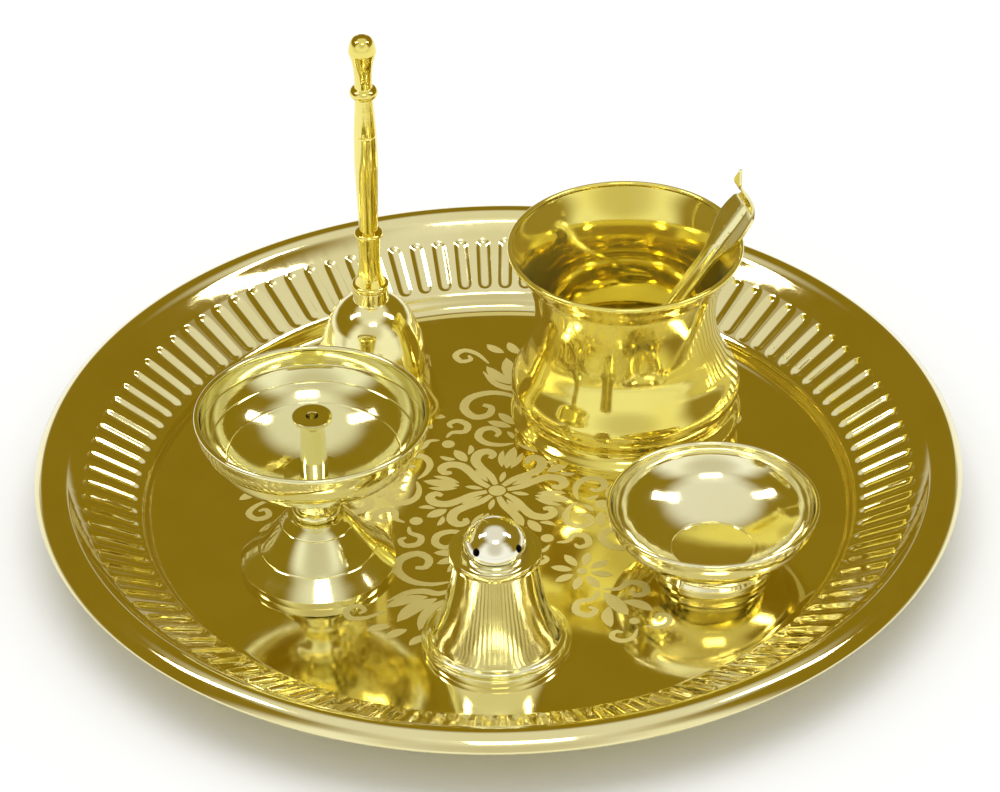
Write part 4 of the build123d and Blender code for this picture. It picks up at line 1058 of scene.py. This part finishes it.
@dataclass
class IncenseHolder:
    """The incense holder: a waisted pillar on a beaded flange, and a dome with slanting holes."""

    place: Place = Place.on_floor(268.845, 0.6471 * TRAY_FLOOR_RADIUS)
    wall: float = 1.7
    height: float = 37.0
    dish_level: float = 36.3
    plate_level: float = 33.7
    rim: float = 14.8
    rim_height: float = 2.6
    rim_width: float = 2.2
    spigot: float = 6.0
    fit: float = 0.05
    dome_radius: float = 10.5
    dome_skirt: float = 0.8
    hole: float = 1.25
    hole_depth: float = 5.0
    hole_place: float = 24.0
    hole_lean: float = 45.0
    hole_turn: float = -38.0

    def pillar(self) -> Piece:
        """Turns the hollow pillar."""
        low, mid, top = (20.8, 4.0), (15.6, 19.2), (13.4, self.height - self.rim_height)
        rim, inside = self.rim, self.rim - self.rim_width
        knots = corner((low[0] - self.wall, 0), (24.0, 0), (24.0, 2.2), (21.7, 2.2))
        knots += smooth((22.35, 2.5), (22.6, 3.1), (22.35, 3.7))
        knots += corner((21.7, 4.0), low)
        knots += smooth((17.9, 11.0), mid, (14.1, 28.0))
        knots += corner(top, (rim, top[1]), (rim, self.height), (inside, self.height))
        knots += corner((inside, self.dish_level), (self.spigot + self.fit, self.dish_level))
        knots += corner((self.spigot + self.fit, self.plate_level), (top[0] - self.wall, self.plate_level))
        knots += smooth((mid[0] - self.wall, mid[1]))
        knots += corner((low[0] - self.wall, 4.0))
        return turned("incense_pillar_turned", self.place, knots, True)

    def dome(self) -> Piece:
        """Turns the dome and drills its holes."""
        centre = self.dish_level + self.dome_skirt
        knots = corner((0, self.plate_level), (self.spigot, self.plate_level), (self.spigot, self.dish_level))
        knots += corner((self.dome_radius, self.dish_level), (self.dome_radius, centre))
        knots += smooth(*bow_points((0, centre), self.dome_radius, steps_between(0, 90, 10)[1:-1]))
        knots += smooth((0, centre + self.dome_radius))
        piece = turned("incense_dome_turned", self.place, knots, False, steps=128, edge=0.15)
        for mouth, rise in self.holes():
            self.drill(piece, mouth, rise)
        pick(piece)
        bpy.ops.object.shade_smooth_by_angle(angle=SMOOTH_FACE)
        return piece

    def holes(self) -> list[tuple[Vector, Vector]]:
        """Returns the mouth of each stick hole and the direction that it slants up and out."""
        seat, lean = math.radians(self.hole_place), math.radians(self.hole_lean)
        middle = self.place.centre(self.dish_level + self.dome_skirt)
        result = []
        for turn in (math.radians(self.hole_turn + 90 * index) for index in range(4)):
            away = Vector((math.sin(turn), -math.cos(turn), 0))
            mouth = middle + (away * math.cos(seat) + UP * math.sin(seat)) * (self.dome_radius * MM)
            result.append((mouth, away * math.cos(lean) + UP * math.sin(lean)))
        return result

    def darken_holes(self, piece: Piece, shop: Workshop) -> None:
        """Paints shade inside the stick holes: a near-black matt finish stands in for the shade down the
        holes.

        Args:
            piece: The drilled and painted dome.
            shop: Keeper of the finishes.
        """
        # painted shade: faces inside each stick hole get the near-black finish in place of the shade that
        # falls there
        piece.data.materials.append(shop.materials[Finish.SOOT])
        reach, length = 1.01 * self.hole * MM, 1.1 * self.hole_depth * MM
        for face in piece.data.polygons:
            for mouth, rise in self.holes():
                way = face.center - mouth
                depth = way.dot(rise)
                if (way - rise * depth).length < reach and abs(depth) < length:
                    face.material_index = 1

    def drill(self, piece: Piece, mouth: Vector, rise: Vector) -> None:
        """Cuts one slanting hole.

        Args:
            piece: The dome.
            mouth: Middle of the hole's mouth.
            rise: Direction of the hole, up and out.
        """
        clear_selection()
        bpy.ops.mesh.primitive_cylinder_add(
            vertices=40,
            radius=self.hole * MM,
            depth=2 * self.hole_depth * MM,
            location=mouth,
            rotation=rise.to_track_quat("Z", "Y").to_euler(),
        )
        drill = bpy.context.object
        pick(piece)
        cut = piece.modifiers.new("stick_hole", "BOOLEAN")
        cut.operation = "DIFFERENCE"
        cut.solver = "EXACT"
        cut.object = drill
        bpy.ops.object.modifier_apply(modifier=cut.name)
        bpy.data.objects.remove(drill, do_unlink=True)

    def make(self, shop: Workshop) -> None:
        """Builds and hands in the holder's pieces."""
        shop.hand_in(self.pillar(), "incense_holder", Finish.INCENSE, ("incense_body",))
        dome = self.dome()
        shop.hand_in(dome, "incense_holder", Finish.DOME, ("incense_dome",))
        self.darken_holes(dome, shop)


@dataclass
class WaterPot:
    """The water pot: a round belly, a narrow neck and a flaring mouth."""

    place: Place = Place.on_floor(50.505, 0.902 * (TRAY_FLOOR_RADIUS - POT_FOOT_RADIUS))
    mouth: float = 39.4
    height: float = 67.0
    wall: float = 1.2
    bead: float = 0.9
    neck: float = 30.5
    neck_height: float = 36.0
    belly: float = 38.7
    belly_height: float = 12.0
    groove: float = 35.6
    groove_height: float = 5.6
    foot: float = POT_FOOT_RADIUS
    foot_edge: float = 1.6
    floor: float = 2.8
    floor_radius: float = 31.0
    recess: float = 34.0
    recess_depth: float = 1.4
    shoulder_shares: Spot = (0.42, 0.46)
    flare_shares: Spot = (0.30, 0.62)

    def line(self, wall: float) -> Path:
        """Returns the points from groove to mouth, moved inwards by a wall."""
        (out, up), (reach, rise) = self.shoulder_shares, self.flare_shares
        low, high = self.neck_height - self.belly_height, self.height - self.neck_height
        points = [
            (self.groove, self.groove_height),
            (self.belly, self.belly_height),
            (self.neck + out * (self.belly - self.neck), self.belly_height + up * low),
            (self.neck, self.neck_height),
            (self.neck + reach * (self.mouth - self.neck), self.neck_height + rise * high),
        ]
        return [(radius - wall, height) for radius, height in points]

    def pot(self) -> Piece:
        """Turns the pot with its lip bead."""
        rim = (self.mouth - self.bead, self.height - self.bead)
        knots = corner((0, self.recess_depth), (self.recess, self.recess_depth), (self.recess, 0))
        knots += corner((self.foot, 0), (self.foot, self.foot_edge))
        knots += smooth(*self.line(0))
        knots += arc(*rim, self.bead, -48, 228, 11)
        knots += smooth(*reversed(self.line(self.wall)))
        knots += corner((self.floor_radius, self.floor), (0, self.floor))
        return turned("water_pot_turned", self.place, knots, False, steps=256)

    def make(self, shop: Workshop) -> None:
        """Builds and hands in the pot."""
        shop.hand_in(self.pot(), "pot", Finish.POT, ("water_pot",))


@dataclass
class Spoon:
    """The spoon that leans in the pot: a ridged stem, a hood that curls up to a leaf, and a boat-shaped bowl.

    Places are given along the stem from the pot's lip, across it and over it.
    """

    pot: WaterPot
    turn: float = 11.0
    lean: float = 55.0
    roll: float = 12.0
    rest: float = 2.0
    sheet: float = 1.0
    start: float = -57.0
    bowl_place: float = -67.42
    bowl_half: float = 13.0
    bowl_radius: float = 9.5
    bowl_centre: float = 4.5
    bowl_rim: float = 1.0
    stem_half: float = 3.7
    ridge_half: float = 2.2
    ridge_rise: float = 1.6
    wing_rise: float = 0.8
    hood_start: float = -14.0
    hood_swell: float = 2.0
    hood_stop: float = 9.0
    hood_half: float = 8.2
    end_half: float = 7.3
    curl: float = 68.0
    curl_round: float = 5.5
    curl_wall: float = 4.6
    leaf_lean: float = 26.0
    leaf_round: float = 2.1
    leaf_length: float = 5.2
    leaf_half: float = 2.3
    neck_half: float = 1.1
    tip_half: float = 0.2
    neck_share: float = 0.59
    leaf_share: float = 0.73
    soft_edge: float = 0.2
    rows: int = 56
    columns: int = 16

    def frame(self) -> Matrix:
        """Returns the matrix that takes a place on the spoon, in millimetres, to the scene."""
        turn, lean, roll = (math.radians(angle) for angle in (self.turn, self.lean, self.roll))
        pot = self.pot
        outwards = Vector((math.cos(turn), math.sin(turn), 0))
        along = outwards * math.cos(lean) + UP * math.sin(lean)
        across = Vector((-math.sin(turn), math.cos(turn), 0))
        over = UP * math.cos(lean) - outwards * math.sin(lean)
        lip = Vector((pot.place.x, pot.place.y, pot.place.level + pot.height - pot.bead))
        spot = lip + outwards * (pot.mouth - pot.bead) + over * (pot.bead + self.rest)
        side = across * math.cos(roll) + over * math.sin(roll)
        face = over * math.cos(roll) - across * math.sin(roll)
        axes = Matrix((along, side, face)).transposed().to_4x4()
        return Matrix.Scale(MM, 4) @ Matrix.Translation(spot) @ axes

    def stem_line(self) -> list[tuple[float, float, float, float, float]]:
        """Returns place, level, slope, half width and share of the ridge along the stem and its end."""
        level = self.wing_rise + self.sheet / 2
        line = []
        for place in steps_between(self.start, self.hood_stop, self.rows):
            share = min(1.0, max(0.0, (place - self.hood_start) / (self.hood_swell - self.hood_start)))
            half = self.stem_half + (self.hood_half - self.stem_half) * share * share * (3 - 2 * share)
            past = max(0.0, place - self.hood_swell) / (self.hood_stop - self.hood_swell)
            line.append((place, level, 0.0, half + (self.end_half - self.hood_half) * past**2, 1.0))
        back = self.curl - self.leaf_lean
        turns = []
        for bend, length, count in (
            (self.curl, math.radians(self.curl) * self.curl_round, 12),
            (0.0, self.curl_wall, 6),
            (-back, math.radians(back) * self.leaf_round, 6),
            (0.0, self.leaf_length, 8),
        ):
            turns += [(bend / count, length / count)] * count
        whole = sum(step for _, step in turns)
        neck, leaf = self.neck_share * whole, self.leaf_share * whole
        spot, slope, gone = Vector((self.hood_stop, level)), 0.0, 0.0
        for bend, step in turns:
            way = math.radians(slope + bend / 2)
            spot = spot + Vector((math.cos(way), math.sin(way))) * step
            slope += bend
            gone += step
            if gone < neck:
                half = self.neck_half + (self.end_half - self.neck_half) * (1 - gone / neck) ** 1.7
            elif gone < leaf:
                half = self.neck_half + (self.leaf_half - self.neck_half) * (gone - neck) / (leaf - neck)
            else:
                half = max(self.tip_half, self.leaf_half * (whole - gone) / (whole - leaf))
            line.append((spot.x, spot.y, math.radians(slope), half, max(0.0, 1 - gone / self.curl_round)))
        return line

    def section(self, aside: float) -> float:
        """Returns the height of the stem's ridge or wing at a place across it, from the wings' edge."""
        if abs(aside) < self.ridge_half:
            return self.ridge_rise * (1 + math.cos(math.pi * aside / self.ridge_half)) / 2 - self.wing_rise
        return self.wing_rise * ((abs(aside) - self.ridge_half) / (self.hood_half - self.ridge_half) - 1)

    def stem(self) -> Piece:
        """Shapes the stem, the hood and the leaf from one flat sheet."""
        line, frame = self.stem_line(), self.frame()
        clear_selection()
        bpy.ops.mesh.primitive_grid_add(x_subdivisions=len(line) - 1, y_subdivisions=self.columns, size=MM)
        piece = bpy.context.object
        piece.name = "spoon_formed"
        for row in range(self.columns + 1):
            for index, (place, level, slope, half, ridge) in enumerate(line):
                aside = half * (2 * row / self.columns - 1)
                rise = ridge * self.section(aside)
                spot = Vector((place - math.sin(slope) * rise, aside, level + math.cos(slope) * rise))
                piece.data.vertices[index + row * len(line)].co = frame @ spot
        return piece

    def bowl(self) -> Piece:
        """Cuts the bowl from a long spheroid."""
        frame = self.frame()
        clear_selection()
        bpy.ops.mesh.primitive_uv_sphere_add(segments=96, ring_count=64, radius=1.0)
        piece = bpy.context.object
        long, wide = self.bowl_half - self.sheet / 2, self.bowl_radius - self.sheet / 2
        centre = Vector((self.bowl_place, 0, self.bowl_centre))
        for vertex in piece.data.vertices:
            spot = vertex.co
            vertex.co = frame @ (centre + Vector((spot.z * long, spot.x * wide, spot.y * wide)))
        with editing(piece):
            bpy.ops.mesh.bisect(
                plane_co=frame @ Vector((self.bowl_place, 0, self.bowl_rim)),
                plane_no=(frame.to_3x3() @ UP).normalized(),
                clear_outer=True,
            )
        return piece

    def build(self) -> Piece:
        """Joins stem and bowl and gives the sheet its thickness.

        Returns:
            The finished spoon.
        """
        piece = joined([self.stem(), self.bowl()])
        thicken(piece, self.sheet)
        edge = piece.modifiers.new("soft_edge", "BEVEL")
        edge.width = self.soft_edge * MM
        edge.segments = 2
        edge.limit_method = "ANGLE"
        edge.angle_limit = FIRM_CREASE
        bpy.ops.object.modifier_apply(modifier=edge.name)
        bpy.ops.object.shade_smooth_by_angle(angle=SMOOTH_FACE)
        return piece

    def make(self, shop: Workshop) -> None:
        """Builds and hands in the spoon."""
        shop.hand_in(self.build(), "spoon", Finish.SPOON, ("spoon",))


@dataclass
class SmallBowl:
    """The small bowl: a round dish on a waisted foot ring, with a well in its floor."""

    place: Place = Place.on_floor(334.537, 0.6675 * TRAY_FLOOR_RADIUS)
    mouth: float = 34.4
    height: float = 22.2
    depth: float = 19.6
    wall: float = 1.2
    bead: float = 0.8
    foot: float = 20.0
    foot_width: float = 2.4
    foot_edge: float = 1.2
    waist: float = 1.3
    well: float = 13.5
    well_depth: float = 0.6
    floor: float = 1.4

    def bowl(self) -> Piece:
        """Turns the bowl."""
        inner_reach, inner_depth = self.mouth - self.wall, self.depth - self.wall
        well_rim = self.height - inner_depth * math.sqrt(1 - (self.well / inner_reach) ** 2)
        well_floor = well_rim - self.well_depth
        under = well_floor - self.floor
        neck = self.foot - self.waist
        foot_top = self.height - self.depth * math.sqrt(1 - (neck / self.mouth) ** 2)
        inside = self.foot - self.foot_width
        inside_top = self.height - self.depth * math.sqrt(1 - (inside / self.mouth) ** 2)
        outer = dish(self.mouth, self.depth, self.height, [foot_top + 0.8, 9.0, 12.0, 15.0, 18.0, 20.4])
        inner = dish(inner_reach, inner_depth, self.height, [20.4, 18, 15, 12, 9, 7, well_rim + 0.5])
        below = dish(self.mouth, self.depth, self.height, [under, 0.5 * (under + inside_top), inside_top])
        knots = corner((0, well_floor), (0, under), below[0])
        knots += smooth(below[1])
        knots += corner(below[2], (inside, 0), (self.foot, 0), (self.foot, self.foot_edge))
        knots += smooth((neck + 0.25, foot_top - 2.2))
        knots += corner((neck, foot_top))
        knots += smooth(*outer)
        knots += arc(self.mouth - self.wall / 2, self.height, self.bead, -45, 225, 11)
        knots += smooth(*inner)
        knots += corner((self.well, well_rim), (self.well, well_floor))
        knots = [*knots[1:], *knots[:1]]
        return turned("small_bowl_turned", self.place, knots, False, steps=256, edge=0.18)

    def make(self, shop: Workshop) -> None:
        """Builds and hands in the bowl."""
        shop.hand_in(self.bowl(), "bowl", Finish.BOWL, ("small_bowl",))


@dataclass
class Studio:
    """The pale floor, the soft light and the camera."""

    camera_at: Point = (0.000463, -1.3223, 0.9764)
    lit: Point = (0.0, 0.0, 0.03)
    look_down: float = 35.1776
    look_aside: float = 0.02305
    roll: float = -1.02596
    lens: float = 178.414
    floor_size: float = 30.0
    paper: tuple[Colour, Colour] = ((0.93, 0.93, 0.92, 1), (0.95, 0.95, 0.95, 1))
    dim_side: Colour = (0.27, 0.185, 0.012, 1)
    bright_side: Colour = (1.0, 1.0, 0.97, 1)
    even_side: Colour = (0.80, 0.80, 0.79, 1)
    front_span: tuple[float, ...] = (-0.66, -0.3, 1.0, 0.0)
    above_span: tuple[float, ...] = (0.74, 0.92, 0.0, 0.75)
    low_span: tuple[float, ...] = (0.02, 0.12, 0.5, 0.0)
    stand_span: tuple[float, ...] = (0.80, 1.0, 0.0, 0.45)

    def floor(self) -> None:
        """Lays the pale floor."""
        clear_selection()
        bpy.ops.mesh.primitive_grid_add(x_subdivisions=8, y_subdivisions=8, size=self.floor_size)
        sheet = bpy.context.object
        sheet.name = "studio_floor"
        material, graph = blank_material("pale_paper")
        shader = graph.node("ShaderNodeBsdfDiffuse")
        grain = graph.noise(graph.node("ShaderNodeTexCoord").outputs["Object"], 6.0)
        graph.feed(shader.inputs["Color"], graph.mix(grain, *self.paper))
        graph.close(shader.outputs["BSDF"])
        sheet.data.materials.append(material)

    def sky(self) -> None:
        """Paints the surroundings.

        What the metal mirrors is warm and dim behind and where the camera stands,
        and bright above and in front.
        """
        world = bpy.data.worlds.new("studio")
        bpy.context.scene.world = world
        world.use_nodes = True
        graph = Graph(world.node_tree)
        direction = graph.node("ShaderNodeTexCoord").outputs["Generated"]
        way = graph.node("ShaderNodeSeparateXYZ")
        graph.feed(way.inputs[0], direction)
        _, back, rise = way.outputs
        front = graph.ramp(back, *self.front_span)
        above = graph.ramp(rise, *self.above_span)
        low = graph.ramp(rise, *self.low_span)
        toward = graph.node("ShaderNodeVectorMath", operation="DOT_PRODUCT")
        graph.feed(toward.inputs[0], direction)
        graph.feed(toward.inputs[1], Vector(self.camera_at).normalized())
        stand = graph.ramp(toward.outputs["Value"], *self.stand_span)
        front = graph.math("SUBTRACT", front, stand)
        bright = graph.math("MINIMUM", graph.math("ADD", graph.math("ADD", front, above), low), 1.0)
        room = graph.mix(bright, self.dim_side, self.bright_side)
        mirrored = graph.node("ShaderNodeLightPath").outputs["Is Glossy Ray"]
        shader = graph.node("ShaderNodeBackground")
        graph.feed(shader.inputs["Color"], graph.mix(mirrored, self.even_side, room))
        graph.close(shader.outputs[0], "ShaderNodeOutputWorld")

    def lamp(self, name: str, at: Point, size: Spot, radiance: float, mirrored: bool) -> None:
        """Hangs one soft lamp that faces the set.

        Args:
            name: Name of the lamp.
            at: Its place, in metres.
            size: Its width and height, in metres.
            radiance: Brightness of its face.
            mirrored: Whether it shows in polished metal, or else lights what is matt.
        """
        clear_selection()
        bpy.ops.object.light_add(type="AREA", location=at)
        lamp = bpy.context.object
        lamp.name = name
        lamp.data.shape = "RECTANGLE"
        lamp.data.size, lamp.data.size_y = size
        lamp.data.energy = radiance * math.pi * size[0] * size[1]
        lamp.visible_glossy = mirrored
        lamp.visible_diffuse = not mirrored
        lamp.rotation_euler = (Vector(self.lit) - Vector(at)).to_track_quat("-Z", "Y").to_euler()

    def view(self) -> None:
        """Sets the camera where the photograph was taken from."""
        clear_selection()
        bpy.ops.object.camera_add(location=self.camera_at)
        camera = bpy.context.object
        camera.name = "main_camera"
        camera.data.sensor_width = 36.0
        camera.data.sensor_fit = "HORIZONTAL"
        camera.data.lens = self.lens
        camera.data.clip_end = 100.0
        down, aside, roll = (math.radians(a) for a in (self.look_down, self.look_aside, self.roll))
        ahead = Vector((math.sin(aside) * math.cos(down), math.cos(aside) * math.cos(down), -math.sin(down)))
        right = Vector((math.cos(aside), -math.sin(aside), 0.0))
        up = right.cross(ahead)
        turned_right = right * math.cos(roll) + up * math.sin(roll)
        turned_up = up * math.cos(roll) - right * math.sin(roll)
        frame = Matrix((turned_right, turned_up, -ahead)).transposed()
        camera.matrix_world = Matrix.Translation(Vector(self.camera_at)) @ frame.to_4x4()
        bpy.context.scene.camera = camera

    def make(self) -> None:
        """Sets up the whole studio."""
        self.floor()
        self.sky()
        self.lamp("left_softbox", (-0.95, 0.05, 1.25), (0.22, 0.6), 11.0, mirrored=True)
        self.lamp("right_softbox", (0.95, 0.05, 1.25), (0.22, 0.6), 11.0, mirrored=True)
        self.lamp("front_softbox", (0.1, -1.1, 1.7), (0.6, 0.34), 5.0, mirrored=True)
        self.lamp("floor_fill", (0.0, 0.3, 2.6), (2.6, 2.6), 1.34, mirrored=False)
        self.view()
        bpy.context.scene.view_settings.view_transform = "Standard"


def main() -> None:
    """Builds the set's pieces in order and reports each one."""
    logging.basicConfig(level=logging.INFO, format="%(name)s: %(message)s")
    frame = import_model()
    shop = Workshop(frame)
    pot = WaterPot()
    parts = [FlutedTray(), FloorOrnament(), HandBell(), OilLamp(), IncenseHolder()]
    for part in (*parts, pot, Spoon(pot), SmallBowl()):
        part.make(shop)
    Studio().make()
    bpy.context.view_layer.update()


if __name__ == "__main__":
    main()
